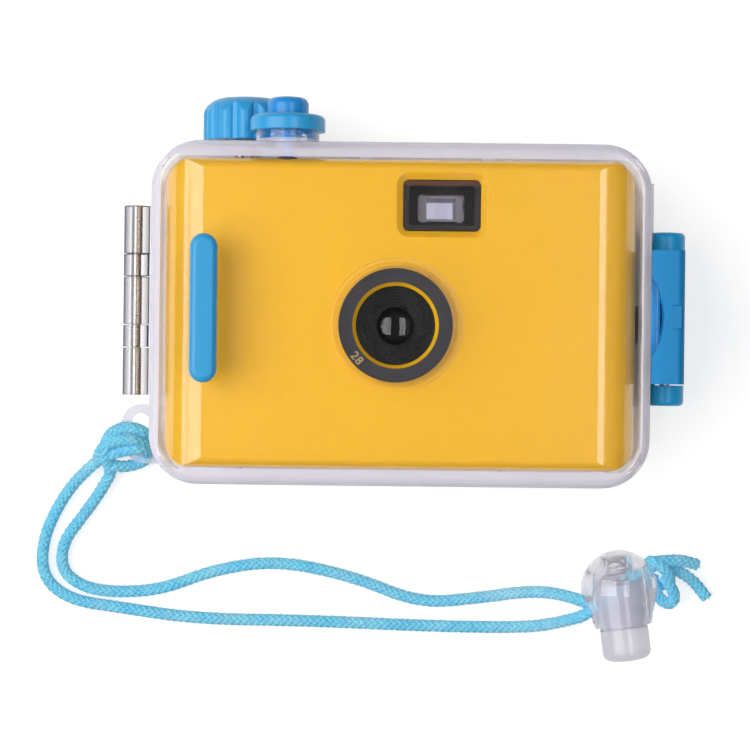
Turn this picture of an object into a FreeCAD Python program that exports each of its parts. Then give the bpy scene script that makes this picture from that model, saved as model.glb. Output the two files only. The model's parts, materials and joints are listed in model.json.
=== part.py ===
import FreeCAD, Part
import math
import os
from types import SimpleNamespace

import Sketcher

Vector = FreeCAD.Vector
Rotation = FreeCAD.Rotation
doc = FreeCAD.newDocument("WaterproofFilmCamera")
sheet = doc.addObject("Spreadsheet::Sheet", "Sizes")
nodes = {}

# Frame: the case lies on its back. +X is right and +Y is up as one looks at the lens,
# +Z points out of the lens, and the origin is the middle of the case's back face.

# Driving sizes in millimetres, angles in degrees
driving_sizes = {
    # waterproof case
    "case_width": 111.2,
    "case_height": 76.9,
    "seam_height": 24.0,
    "seam_gap": 0.1,
    "front_shell_depth": 17.9,
    "corner_radius": 11.5,
    "case_wall": 1.7,
    "front_taper": 3.0,
    "back_edge_round": 2.0,
    "front_edge_round": 2.2,
    "gasket_width": 0.8,
    "gasket_depth": 1.0,
    "rest_rib_height": 1.3,
    "rest_rib_width": 1.6,
    "side_rib_width": 3.0,
    "locating_gap": 0.3,
    "port_radius": 14.5,
    "port_rise": 3.0,
    "port_rim": 0.85,
    "window_thickness": 2.0,
    "window_seat": 0.9,
    # hinge
    "hinge_offset": 3.85,
    "hinge_top": 24.1,
    "knuckle_radius": 2.9,
    "long_knuckle": 10.6,
    "short_knuckle": 4.85,
    "knuckle_gap": 0.25,
    "hinge_pin_radius": 1.0,
    # latch
    "latch_recess": 0.8,
    "latch_middle": 0.2,
    "latch_height": 12.6,
    "latch_offset": 5.75,
    "hub_radius": 4.3,
    "hub_length": 4.7,
    "lever_half_length": 14.9,
    "lever_gap": 0.3,
    "lever_rise": 8.9,
    "lever_thickness": 5.8,
    "notch_reach": 2.7,
    "claw_thickness": 1.6,
    "rail_depth": 1.6,
    "rail_height": 7.3,
    "groove_low": 2.9,
    "groove_height": 3.0,
    "groove_depth": 1.5,
    "latch_pin_radius": 1.2,
    # strap lug and lifting tab
    "lug_offset": 4.4,
    "lug_hole_y": -25.2,
    "lug_radius": 4.4,
    "lug_hole_radius": 2.3,
    "lug_bottom": 3.4,
    "lug_thickness": 2.5,
    "tab_reach": 1.4,
    # wind knob
    "knob_x": -35.45,
    "knob_z": 14.0,
    "knob_radius": 10.05,
    "knob_height": 9.8,
    "knob_dome": 4.6,
    "lobe_radius": 1.9,
    "boss_radius": 6.0,
    "boss_rise": 1.1,
    "wind_shaft_radius": 2.0,
    "drive_blade": 1.6,
    "blade_engagement": 0.45,
    # shutter plunger
    "button_x": -25.45,
    "button_z": 31.2,
    "neck_radius": 7.05,
    "neck_rise": 3.3,
    "collar_radius": 8.35,
    "collar_drop": 1.2,
    "collar_rise": 2.3,
    "collar_round": 1.2,
    "plunger_radius": 4.62,
    "plunger_sink": 0.7,
    "plunger_height": 4.7,
    "plunger_travel": 1.5,
    "plunger_shaft_radius": 1.5,
    "spring_well_radius": 3.4,
    "spring_well_depth": 2.4,
    "plunger_recess": 1.9,
    # finger grip
    "grip_x": -42.9,
    "grip_y": 0.8,
    "grip_width": 5.95,
    "grip_length": 32.4,
    "grip_height": 3.5,
    # camera body
    "camera_width": 105.5,
    "camera_height": 68.6,
    "camera_rise": 0.1,
    "camera_depth": 32.0,
    "camera_corner": 7.0,
    "camera_side_round": 9.0,
    "camera_edge_round": 2.2,
    "camera_wall": 1.6,
    "rear_depth": 4.7,
    "rear_wall": 1.6,
    "door_top": 17.8,
    "body_gap": 0.25,
    "chassis_front": 27.0,
    # lens
    "lens_x": -1.06,
    "lens_y": -2.4,
    "bezel_radius": 12.9,
    "bezel_rise": 2.4,
    "ring_radius": 12.57,
    "ring_bore": 9.5,
    "ring_thickness": 0.6,
    "barrel_radius": 8.6,
    "barrel_base": 1.3,
    "barrel_length": 7.9,
    "flange_radius": 12.0,
    "flange_thickness": 1.2,
    "funnel_mouth": 8.3,
    "funnel_throat": 3.6,
    "funnel_depth": 4.6,
    "mouth_depth": 1.1,
    "front_lens_radius": 4.2,
    "rear_lens_radius": 3.3,
    # viewfinder
    "finder_x": 8.97,
    "finder_y": 24.3,
    "finder_width": 16.9,
    "finder_height": 11.1,
    "finder_wall": 1.2,
    "finder_bevel": 1.4,
    "finder_corner": 1.2,
    "eyepiece_width": 7.2,
    "eyepiece_height": 5.0,
    # film path
    "gate_width": 36.0,
    "gate_height": 24.0,
    "cassette_x": 38.0,
    "cassette_z": 18.5,
    "cassette_radius": 12.5,
    "chamber_half_height": 24.4,
    "wheel_radius": 11.3,
    "wheel_thickness": 4.0,
    "wheel_low": 28.3,
    "spool_radius": 5.0,
    "spool_flange": 8.3,
    "sprocket_x": -22.6,
    "sprocket_z": 12.3,
    "sprocket_radius": 4.4,
    "sprocket_tooth": 0.7,
    "sprocket_shaft_radius": 1.4,
    "perforation_rows": 28.4,
    "rewind_knob_radius": 7.0,
    "fork_radius": 1.9,
    # fits
    "running": 0.05,
    "press": 0.02,
    "side_gap": 0.3,
    # cord and cord lock
    "cord_diameter": 3.0,
    "lock_x": 51.8,
    "lock_y": -62.2,
    "lock_radius": 8.9,
    "lock_turn": 7.5,
    "lock_foot": 8.6,
    "lock_plunger_radius": 5.6,
    "lock_bore_depth": 4.0,
    "lock_plunger_length": 17.6,
    "lock_plunger_top": 1.0,
    "lock_travel": 2.2,
    "lock_hole_y": -3.9,
    "lock_hole_height": 6.6,
    "lock_hole_width": 4.2,
    "lock_spring_radius": 2.6,
    "lock_spring_pocket": 2.6,
}


def fill_sheet():
    for row, (alias, number) in enumerate(driving_sizes.items(), start=1):
        sheet.set(f"A{row}", alias)
        sheet.set(f"B{row}", str(number))
        sheet.setAlias(f"B{row}", alias)
    doc.recompute()


class Size:
    """A length with the spreadsheet formula that gives it."""

    def __init__(self, number, formula):
        self.number = number
        self.formula = formula

    def __add__(self, other):
        other = as_size(other)
        return Size(self.number + other.number, f"({self.formula} + {other.formula})")

    def __sub__(self, other):
        other = as_size(other)
        return Size(self.number - other.number, f"({self.formula} - {other.formula})")

    def __mul__(self, other):
        other = as_size(other)
        return Size(self.number * other.number, f"({self.formula} * {other.formula})")

    def __truediv__(self, other):
        other = as_size(other)
        return Size(self.number / other.number, f"({self.formula} / {other.formula})")

    def __radd__(self, other):
        return as_size(other) + self

    def __rsub__(self, other):
        return as_size(other) - self

    def __rmul__(self, other):
        return as_size(other) * self

    def __neg__(self):
        return as_size(0) - self


def as_size(entry):
    if isinstance(entry, Size):
        return entry
    return Size(float(entry), f"({float(entry)})")


fill_sheet()
s = SimpleNamespace(**{
    alias: Size(float(sheet.get(alias)), f"Sizes.{alias}") for alias in driving_sizes
})


# Building helpers

def bind(target, **entries):
    for name, entry in entries.items():
        target.setExpression(name.replace("__", "."), as_size(entry).formula)


def put(solid, x, y, z):
    bind(solid, Placement__Base__x=x, Placement__Base__y=y, Placement__Base__z=z)


turns_to_axis = {
    "x": Rotation(Vector(0, 1, 0), 90),
    "y": Rotation(Vector(1, 0, 0), -90),
    "z": Rotation(),
}


def box(name, x, y, z):
    solid = doc.addObject("Part::Box", name)
    bind(solid, Length=x[1] - x[0], Width=y[1] - y[0], Height=z[1] - z[0])
    put(solid, x[0], y[0], z[0])
    return solid


def centred_box(name, middle, half, z):
    """A box about a middle point in X and Y."""
    x = (middle[0] - half[0], middle[0] + half[0])
    y = (middle[1] - half[1], middle[1] + half[1])
    return box(name, x, y, z)


def aim(solid, axis, start, across):
    solid.Placement = FreeCAD.Placement(Vector(), turns_to_axis[axis])
    if axis == "x":
        put(solid, start, across[0], across[1])
    elif axis == "y":
        put(solid, across[0], start, across[1])
    else:
        put(solid, across[0], across[1], start)
    return solid


def rod(name, axis, radius, span, across):
    """A cylinder along an axis over a span, its axis at two across coordinates."""
    solid = doc.addObject("Part::Cylinder", name)
    bind(solid, Radius=radius, Height=span[1] - span[0])
    return aim(solid, axis, span[0], across)


def tapered_rod(name, axis, radii, span, across):
    solid = doc.addObject("Part::Cone", name)
    bind(solid, Radius1=radii[0], Radius2=radii[1], Height=span[1] - span[0])
    return aim(solid, axis, span[0], across)


def ring(name, axis, radius, thickness, level, across):
    """A round ring whose middle circle has the radius and whose wire is half the thickness."""
    solid = doc.addObject("Part::Torus", name)
    bind(solid, Radius1=radius, Radius2=thickness / 2)
    return aim(solid, axis, level, across)


def ball(name, radius, x, y, z):
    solid = doc.addObject("Part::Sphere", name)
    bind(solid, Radius=radius)
    put(solid, x, y, z)
    return solid


def join(name, *pieces):
    fused = doc.addObject("Part::MultiFuse", name)
    fused.Shapes = list(pieces)
    fused.Refine = True
    return fused


def overlap_of(name, *pieces):
    common = doc.addObject("Part::MultiCommon", name)
    common.Shapes = list(pieces)
    return common


def carve(name, base, *tools):
    tool = tools[0] if len(tools) == 1 else join(name + "_tools", *tools)
    cut = doc.addObject("Part::Cut", name)
    cut.Base = base
    cut.Tool = tool
    cut.Refine = True
    return cut


def soften(name, base, radius, chooser):
    """Rounds the edges of the base that the chooser picks."""
    doc.recompute()
    rounded = doc.addObject("Part::Fillet", name)
    rounded.Base = base
    chosen = []
    for number, edge in enumerate(base.Shape.Edges, start=1):
        if chooser(edge):
            chosen.append((number, radius.number, radius.number))
    rounded.Edges = chosen
    return rounded


def runs_along(edge, axis):
    """Whether a straight edge runs along an axis."""
    if edge.Curve.TypeId != "Part::GeomLine":
        return False
    direction = edge.Vertexes[-1].Point - edge.Vertexes[0].Point
    direction.normalize()
    return abs(abs(getattr(direction, axis)) - 1) < 1e-6


def lies_at(edge, axis, level):
    """Whether a whole edge lies at a level of an axis."""
    box_of_edge = edge.BoundBox
    low = getattr(box_of_edge, axis.upper() + "Min")
    high = getattr(box_of_edge, axis.upper() + "Max")
    return abs(low - level) < 1e-3 and abs(high - level) < 1e-3


def finish_node(node, solid):
    solid.Label = node
    nodes[node] = solid
    return solid


# Sketched slabs

def origin_plane(body, role):
    return next(feature for feature in body.Origin.OriginFeatures if feature.Role == role)


def sketch_at(body, name, middle, level):
    sketch = body.newObject("Sketcher::SketchObject", name)
    sketch.AttachmentSupport = [(origin_plane(body, "XY_Plane"), "")]
    sketch.MapMode = "FlatFace"
    bind(
        sketch,
        AttachmentOffset__Base__x=middle[0],
        AttachmentOffset__Base__y=middle[1],
        AttachmentOffset__Base__z=level,
    )
    return sketch


def add_rounded_loop(sketch, half_width, half_height, radius):
    """A rounded rectangle about the sketch's origin, sized by the spreadsheet."""
    half_width, half_height, radius = map(as_size, (half_width, half_height, radius))
    w, t, r = half_width.number, half_height.number, radius.number
    first = sketch.GeometryCount
    up = Vector(0, 0, 1)
    corner_middles = [(w - r, t - r), (r - w, t - r), (r - w, r - t), (w - r, r - t)]
    sides = [
        ((w, r - t), (w, t - r)),
        ((w - r, t), (r - w, t)),
        ((-w, t - r), (-w, r - t)),
        ((r - w, -t), (w - r, -t)),
    ]
    for quarter, ((start, end), middle) in enumerate(zip(sides, corner_middles)):
        sketch.addGeometry(Part.LineSegment(Vector(*start, 0), Vector(*end, 0)))
        circle = Part.Circle(Vector(*middle, 0), up, r)
        angle = quarter * math.pi / 2
        sketch.addGeometry(Part.ArcOfCircle(circle, angle, angle + math.pi / 2))
    for step in range(8):
        here = first + step
        after = first + (step + 1) % 8
        sketch.addConstraint(Sketcher.Constraint("Tangent", here, 2, after, 1))
    for step, kind in ((0, "Vertical"), (2, "Horizontal"), (4, "Vertical"), (6, "Horizontal")):
        sketch.addConstraint(Sketcher.Constraint(kind, first + step))
    for step in (3, 5, 7):
        sketch.addConstraint(Sketcher.Constraint("Equal", first + 1, first + step))
    sized = [
        (Sketcher.Constraint("Radius", first + 1, r), radius),
        (Sketcher.Constraint("DistanceX", -1, 1, first, 1, w), half_width),
        (Sketcher.Constraint("DistanceX", first + 4, 1, -1, 1, w), half_width),
        (Sketcher.Constraint("DistanceY", -1, 1, first + 2, 1, t), half_height),
        (Sketcher.Constraint("DistanceY", first + 6, 1, -1, 1, t), half_height),
    ]
    for constraint, entry in sized:
        index = sketch.addConstraint(constraint)
        sketch.setExpression(f"Constraints[{index}]", entry.formula)


def pad(body, sketch, length, taper=0):
    feature = body.newObject("PartDesign::Pad", sketch.Name + "_pad")
    feature.Profile = sketch
    bind(feature, Length=length, TaperAngle=taper)
    return feature


def pocket(body, sketch, depth, upward=False, taper=0):
    feature = body.newObject("PartDesign::Pocket", sketch.Name + "_pocket")
    feature.Profile = sketch
    feature.Reversed = upward
    bind(feature, Length=depth, TaperAngle=taper)
    return feature


def rounded_slab(name, middle, half, radius, z, taper=0):
    """A body padded from a rounded rectangle, from z[0] up to z[1]."""
    body = doc.addObject("PartDesign::Body", name)
    sketch = sketch_at(body, name + "_outline", middle, z[0])
    add_rounded_loop(sketch, half[0], half[1], radius)
    pad(body, sketch, z[1] - z[0], taper)
    return body


def checked_pocket(body, *arguments, **options):
    """A pocket that must take material away."""
    doc.recompute()
    volume_before = body.Shape.Volume
    feature = pocket(body, *arguments, **options)
    doc.recompute()
    if body.Shape.Volume > volume_before - 1.0:
        raise RuntimeError(feature.Name + " takes nothing away")
    return feature


def round_level(body, name, level, radius):
    """Rounds the body's edges that lie at one level of Z."""
    doc.recompute()
    last = body.Tip
    edges = [
        f"Edge{number}"
        for number, edge in enumerate(last.Shape.Edges, start=1)
        if lies_at(edge, "z", level.number)
    ]
    rounding = body.newObject("PartDesign::Fillet", name)
    rounding.Base = (last, edges)
    bind(rounding, Radius=radius)


# Places that several pieces share
wall_bite = (s.case_wall - s.gasket_width) / 2 - s.seam_gap / 2
half_width = s.case_width / 2
half_height = s.case_height / 2
lid_base = s.seam_height + s.seam_gap
case_front_z = lid_base + s.front_shell_depth
lid_inner_z = case_front_z - s.case_wall
inner_half_width = half_width - s.case_wall
inner_half_height = half_height - s.case_wall
camera_back = s.case_wall + s.rest_rib_height
camera_front = camera_back + s.camera_depth
camera_half_width = s.camera_width / 2
camera_half_height = s.camera_height / 2
camera_top = s.camera_rise + camera_half_height
camera_bottom = s.camera_rise - camera_half_height
camera_split = camera_back + s.rear_depth
hinge_x = -half_width - s.hinge_offset
hinge_z = s.seam_height + s.seam_gap / 2
lug_x = -half_width - s.lug_offset
recess_face = half_width - s.latch_recess
latch_x = half_width + s.latch_offset
lever_low_y = s.latch_middle - s.lever_half_length
lever_high_y = s.latch_middle + s.lever_half_length
lever_front = lid_base + s.lever_rise
claw_low = lid_base + s.groove_low + s.lever_gap
chassis_half_width = camera_half_width - s.camera_wall - s.body_gap
chassis_top = camera_top - s.camera_wall - s.body_gap
chassis_bottom = camera_bottom + s.camera_wall + s.body_gap
chassis_back = camera_split + s.body_gap
blade_low = camera_top - s.blade_engagement
lens = (s.lens_x, s.lens_y)
finder = (s.finder_x, s.finder_y)
button_at = (s.button_x, s.button_z)
knob_at = (s.knob_x, s.knob_z)
sprocket_at = (s.sprocket_x, s.sprocket_z)
cassette_at = (s.cassette_x, s.cassette_z)


# Hinge

def knuckle_spans():
    """The five knuckles from the top down, long ones on the back shell."""
    spans = []
    top = s.hinge_top
    for number in range(5):
        length = s.long_knuckle if number % 2 == 0 else s.short_knuckle
        spans.append((top - length, top))
        top = top - length - s.knuckle_gap
    return spans


def knuckles(owner, long_ones):
    pieces = []
    for number, span in enumerate(knuckle_spans()):
        if (number % 2 == 0) != long_ones:
            continue
        name = f"{owner}_knuckle_{number}"
        pieces.append(rod(name, "y", s.knuckle_radius, span, (hinge_x, hinge_z)))
        if long_ones:
            web_z = (hinge_z - s.knuckle_radius, hinge_z - s.side_gap)
        else:
            web_z = (hinge_z + s.side_gap, hinge_z + s.knuckle_radius)
        web_x = (hinge_x, wall_bite - half_width)
        pieces.append(box(name + "_web", web_x, span, web_z))
    return pieces


def hinge_bore(owner):
    spans = knuckle_spans()
    span = (spans[-1][0] - 1, spans[0][1] + 1)
    return rod(owner + "_hinge_bore", "y", s.hinge_pin_radius + s.running, span, (hinge_x, hinge_z))


def make_hinge_pin():
    spans = knuckle_spans()
    pin = rod("hinge_pin_rod", "y", s.hinge_pin_radius, (spans[-1][0], spans[0][1]), (hinge_x, hinge_z))
    finish_node("hinge_pin", pin)


# Back shell of the case

def make_case_back():
    body = rounded_slab(
        "case_back_shell", (0, 0), (half_width, half_height), s.corner_radius, (0, s.seam_height)
    )
    hollow = sketch_at(body, "case_back_hollow", (0, 0), s.seam_height)
    inner_radius = s.corner_radius - s.case_wall
    add_rounded_loop(hollow, inner_half_width, inner_half_height, inner_radius)
    checked_pocket(body, hollow, s.seam_height - s.case_wall)
    groove = sketch_at(body, "case_back_gasket_groove", (0, 0), s.seam_height)
    rim = (s.case_wall - s.gasket_width) / 2
    for inset in (rim, rim + s.gasket_width):
        add_rounded_loop(groove, half_width - inset, half_height - inset, s.corner_radius - inset)
    checked_pocket(body, groove, s.gasket_depth)
    round_level(body, "case_back_edge_round", as_size(0), s.back_edge_round)

    ribs = []
    for side, y in (("low", -22), ("high", 22)):
        span = (y - s.rest_rib_width / 2, y + s.rest_rib_width / 2)
        rib_reach = camera_half_width - s.camera_corner
        ribs.append(box(f"rest_rib_{side}", (-rib_reach, rib_reach), span, (s.case_wall / 2, camera_back)))
    rib_z = (s.case_wall / 2, s.seam_height * 0.7)
    for y in (-20, 20):
        span = (y - s.side_rib_width / 2, y + s.side_rib_width / 2)
        face = camera_half_width + s.locating_gap
        ribs.append(box("right_rib", (face, half_width - s.case_wall / 2), span, rib_z))
        ribs.append(box("left_rib", (s.case_wall / 2 - half_width, -face), span, rib_z))
    for x in (-8, 20):
        span = (x - s.side_rib_width / 2, x + s.side_rib_width / 2)
        face = camera_top + s.locating_gap
        ribs.append(box("top_rib", span, (face, half_height - s.case_wall / 2), rib_z))
    for x in (-38, 25):
        span = (x - s.side_rib_width / 2, x + s.side_rib_width / 2)
        face = camera_bottom - s.locating_gap
        ribs.append(box("bottom_rib", span, (s.case_wall / 2 - half_height, face), rib_z))

    boss_top = half_height + s.boss_rise
    boss = rod("knob_boss", "y", s.boss_radius, (half_height - s.case_wall, boss_top), knob_at)
    tab = box(
        "lifting_tab",
        (half_width - wall_bite, half_width + s.tab_reach),
        (lever_high_y + 2.4, lever_high_y + 15.4),
        (s.seam_height - 6, s.seam_height),
    )
    lug_z = (s.lug_bottom, s.lug_bottom + s.lug_thickness)
    lug_at = (lug_x, s.lug_hole_y)
    lug_round = rod("lug_round", "z", s.lug_radius, lug_z, lug_at)
    lug_root = box(
        "lug_root",
        (lug_x, s.case_wall / 2 - half_width),
        (s.lug_hole_y - s.lug_radius - 5, s.lug_hole_y + s.lug_radius),
        lug_z,
    )
    lug_heel = rod("lug_heel", "z", 5, lug_z, (lug_x + 1, s.lug_hole_y - s.lug_radius))
    whole = join(
        "case_back_solid", body, boss, tab, lug_round, lug_root, lug_heel,
        *ribs, *knuckles("back", True)
    )
    bore = rod("knob_bore", "y", s.wind_shaft_radius + s.running, (half_height - 3, boss_top + 1), knob_at)
    gland = rod("knob_gland", "y", s.wind_shaft_radius + 1.4, (half_height - 0.3, boss_top + 1), knob_at)
    lug_hole = rod("lug_hole", "z", s.lug_hole_radius, (0, s.seam_height), lug_at)
    end = s.hub_length + s.lever_gap + s.side_gap
    recess = box(
        "latch_recess_cut",
        (recess_face, half_width + 1),
        (lever_low_y - end, lever_high_y + end),
        (s.back_edge_round + 0.5, s.seam_height - 3.5),
    )
    finish_node("case_back", carve("case_back_cut", whole, bore, gland, lug_hole, recess, hinge_bore("back")))


def make_case_gasket():
    body = doc.addObject("PartDesign::Body", "gasket_ring")
    sketch = sketch_at(body, "gasket_outline", (0, 0), s.seam_height - s.gasket_depth)
    rim = (s.case_wall - s.gasket_width) / 2
    for inset in (rim, rim + s.gasket_width):
        add_rounded_loop(sketch, half_width - inset, half_height - inset, s.corner_radius - inset)
    pad(body, sketch, s.gasket_depth + s.seam_gap / 2)
    finish_node("case_gasket", body)


# Front shell of the case, a lid on the hinge

def make_case_front():
    body = rounded_slab(
        "case_front_shell", (0, 0), (half_width, half_height), s.corner_radius,
        (lid_base, case_front_z), -s.front_taper
    )
    hollow = sketch_at(body, "case_front_hollow", (0, 0), lid_base)
    inner_radius = s.corner_radius - s.case_wall
    add_rounded_loop(hollow, inner_half_width, inner_half_height, inner_radius)
    checked_pocket(body, hollow, s.front_shell_depth - s.case_wall, upward=True, taper=-s.front_taper)
    round_level(body, "case_front_edge_round", case_front_z, s.front_edge_round)

    port_top = case_front_z + s.port_rise
    port = rod("port_boss", "z", s.port_radius, (lid_inner_z, port_top), lens)
    neck_top = half_height + s.neck_rise
    neck = rod("plunger_neck", "y", s.neck_radius, (half_height - s.case_wall, neck_top), button_at)
    rail_y = (lever_low_y + s.side_gap, lever_high_y - s.side_gap)
    rail_z = (lid_base + s.seam_gap, lid_base + s.rail_height)
    rail = box("claw_rail", (half_width - s.case_wall, half_width + s.rail_depth), rail_y, rail_z)
    whole = join("case_front_solid", body, port, neck, rail, *knuckles("front", False))

    seat_radius = s.port_radius - s.port_rim
    seat_z = port_top - s.window_thickness - 0.2
    seat = rod("port_seat", "z", seat_radius, (seat_z, port_top + 1), lens)
    opening = rod("port_opening", "z", seat_radius - s.window_seat, (lid_inner_z - 1, port_top), lens)
    shaft_bore = rod(
        "plunger_bore", "y", s.plunger_shaft_radius + s.running, (half_height - 4, neck_top), button_at
    )
    gland = rod(
        "plunger_gland", "y", s.plunger_shaft_radius + 1.25, (half_height - 4, half_height - 0.1), button_at
    )
    well = rod(
        "spring_well", "y", s.spring_well_radius, (neck_top - s.spring_well_depth, neck_top + 1), button_at
    )
    groove_z = lid_base + s.groove_low
    groove = box(
        "claw_groove",
        (half_width + s.rail_depth - s.groove_depth, half_width + s.rail_depth + 1),
        (lever_low_y - 1, lever_high_y + 1),
        (groove_z, groove_z + s.groove_height),
    )
    finish_node("case_front", carve(
        "case_front_cut", whole, seat, opening, shaft_bore, gland, well, groove, hinge_bore("front")
    ))


def make_port_window():
    port_top = case_front_z + s.port_rise
    low = port_top - s.window_thickness - 0.2 + s.running
    radius = s.port_radius - s.port_rim - s.press
    finish_node("port_window", rod("port_disc", "z", radius, (low, low + s.window_thickness), lens))


def make_finger_grip():
    half_straight = (s.grip_length - s.grip_width) / 2
    z = (case_front_z, case_front_z + s.grip_height)
    top_end = rod("grip_top", "z", s.grip_width / 2, z, (s.grip_x, s.grip_y + half_straight))
    low_end = rod("grip_low", "z", s.grip_width / 2, z, (s.grip_x, s.grip_y - half_straight))
    middle = centred_box("grip_middle", (s.grip_x, s.grip_y), (s.grip_width / 2, half_straight), z)
    pill = join("grip_pill", top_end, low_end, middle)
    rounded = soften(
        "grip_rounded", pill, s.grip_width / 4, lambda edge: lies_at(edge, "z", z[1].number)
    )
    finish_node("finger_grip", rounded)


# Latch

def make_latch_bracket():
    bar_x = (recess_face, latch_x - 1.6)
    end = s.hub_length + s.lever_gap
    low_hub = (lever_low_y - end, lever_low_y - s.lever_gap)
    high_hub = (lever_high_y + s.lever_gap, lever_high_y + end)
    bar_z = (s.back_edge_round + 1, s.latch_height - s.hub_radius - 1.3)
    pieces = [box("bracket_bar", bar_x, (low_hub[0], high_hub[1]), bar_z)]
    for name, span, face in (("low", low_hub, low_hub[0]), ("high", high_hub, high_hub[1])):
        hub = rod(f"{name}_hub", "y", s.hub_radius, span, (latch_x, s.latch_height))
        pieces.append(soften(
            f"{name}_hub_rounded", hub, s.hub_radius / 4,
            lambda edge, level=face: lies_at(edge, "y", level.number)
        ))
        pieces.append(box(f"{name}_hub_root", (recess_face, latch_x), span, (bar_z[0], s.latch_height)))
    bracket = join("bracket_solid", *pieces)
    span = (low_hub[0] - 1, high_hub[1] + 1)
    bore = rod("bracket_bore", "y", s.latch_pin_radius + s.press, span, (latch_x, s.latch_height))
    finish_node("latch_bracket", carve("bracket_cut", bracket, bore))
    pin_span = (low_hub[0], high_hub[1])
    finish_node("latch_pin", rod("latch_pin_rod", "y", s.latch_pin_radius, pin_span, (latch_x, s.latch_height)))


def make_latch_lever():
    span = (lever_low_y, lever_high_y)
    inner = half_width + s.rail_depth + s.lever_gap
    outer = inner + s.lever_thickness
    barrel = rod("lever_barrel", "y", s.hub_radius, span, (latch_x, s.latch_height))
    plate = box("lever_plate", (inner, outer), span, (s.latch_height, lever_front))
    edges_ahead = soften(
        "lever_plate_rounded", plate, s.lever_thickness / 3,
        lambda edge: runs_along(edge, "y") and edge.BoundBox.XMin > outer.number - 0.01
        and edge.BoundBox.ZMin > lever_front.number - 0.01
    )
    raised = box(
        "lever_pad",
        (outer - 3.0, outer - 0.9),
        (s.latch_middle - 2.6, s.latch_middle + 2.6),
        (lever_front - 3, lever_front + 0.3),
    )
    lip_edge = half_width + s.lever_gap
    lip_low = lid_base + s.rail_height + s.lever_gap
    lip = box("lever_lip", (lip_edge, inner + 1), span, (lip_low, lever_front))
    notch_half = s.lever_half_length * 0.6
    notch_radius = (notch_half * notch_half + s.notch_reach * s.notch_reach) / (2 * s.notch_reach)
    notch_round = rod(
        "notch_round", "z", notch_radius, (lever_front - 11, lever_front + 1),
        (lip_edge + s.notch_reach - notch_radius, s.latch_middle)
    )
    claw_x = (half_width + s.rail_depth - s.groove_depth + s.lever_gap, inner + 0.6)
    claw = box("lever_claw", claw_x, span, (claw_low, claw_low + s.claw_thickness))
    plate_cut = carve("lever_plate_cut", join("lever_front_part", edges_ahead, lip), notch_round)
    lever = join("lever_solid", barrel, plate_cut, raised, claw)
    bore = rod(
        "lever_bore", "y", s.latch_pin_radius + s.running, (lever_low_y - 1, lever_high_y + 1),
        (latch_x, s.latch_height)
    )
    finish_node("latch_lever", carve("lever_cut", lever, bore))


# Wind knob group, turning about Y through the back shell

def make_winder():
    boss_top = half_height + s.boss_rise
    low = boss_top + s.side_gap
    high = low + s.knob_height
    core = rod("knob_core", "y", s.knob_radius - 1.1, (low, high), knob_at)
    lobes = []
    lobe_circle = s.knob_radius - s.lobe_radius
    for number in range(12):
        angle = math.radians(30 * number)
        across = (s.knob_x + lobe_circle * math.cos(angle), s.knob_z + lobe_circle * math.sin(angle))
        lobes.append(rod(f"knob_lobe_{number}", "y", s.lobe_radius, (low, high), across))
    crown = rod("knob_crown", "y", s.knob_radius + 0.1, (low, high), knob_at)
    dome = soften("knob_dome_round", crown, s.knob_dome, lambda edge: lies_at(edge, "y", high.number))
    lobed = join("knob_lobed", core, *lobes)
    domed = overlap_of("knob_domed", lobed, dome)
    socket_top = high - 3.7
    socket = rod("knob_socket", "y", s.wind_shaft_radius + s.press, (low - 1, socket_top), knob_at)
    finish_node("wind_knob", carve("knob_cut", domed, socket))

    clip_low = inner_half_height - 0.8
    shaft_low = clip_low - 0.2
    shaft = rod("wind_shaft_rod", "y", s.wind_shaft_radius, (shaft_low, socket_top), knob_at)
    blade = box(
        "wind_blade",
        (s.knob_x - s.drive_blade / 2, s.knob_x + s.drive_blade / 2),
        (blade_low, shaft_low + 0.5),
        (s.knob_z - s.wind_shaft_radius * 0.9, s.knob_z + s.wind_shaft_radius * 0.9),
    )
    solid = join("wind_shaft_solid", shaft, blade)
    groove_ring = rod("wind_groove_outer", "y", s.wind_shaft_radius + 1, (clip_low, clip_low + 0.6), knob_at)
    groove_core = rod("wind_groove_core", "y", s.wind_shaft_radius - 0.4, (clip_low, clip_low + 0.6), knob_at)
    groove = carve("wind_groove", groove_ring, groove_core)
    finish_node("wind_shaft", carve("wind_shaft_cut", solid, groove))
    disc = rod("wind_clip_disc", "y", s.wind_shaft_radius + 1.6, (clip_low, clip_low + 0.6), knob_at)
    hole = rod("wind_clip_hole", "y", s.wind_shaft_radius - 0.4 + s.press, (clip_low - 1, clip_low + 2), knob_at)
    mouth = box(
        "wind_clip_mouth", (s.knob_x - 1.2, s.knob_x + 1.2), (clip_low - 1, clip_low + 2),
        (s.knob_z, s.knob_z + 6)
    )
    finish_node("wind_clip", carve("wind_clip_cut", disc, hole, mouth))
    seal = ring("knob_seal_ring", "y", s.wind_shaft_radius + 0.74, as_size(1.2), boss_top - 0.7, knob_at)
    finish_node("knob_seal", seal)


# Shutter plunger group on the front shell

def make_shutter_collar():
    neck_top = half_height + s.neck_rise
    span = (neck_top - s.collar_drop, neck_top + s.collar_rise)
    brim = rod("collar_brim", "y", s.collar_radius, span, button_at)
    crown = soften("collar_crown", brim, s.collar_round, lambda edge: lies_at(edge, "y", span[1].number))
    neck_fit = rod("collar_neck_fit", "y", s.neck_radius + s.press, (span[0] - 1, neck_top), button_at)
    guide = rod("collar_guide", "y", s.plunger_radius + s.side_gap, (span[0], span[1] + 1), button_at)
    finish_node("shutter_collar", carve("collar_cut", crown, neck_fit, guide))


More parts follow.
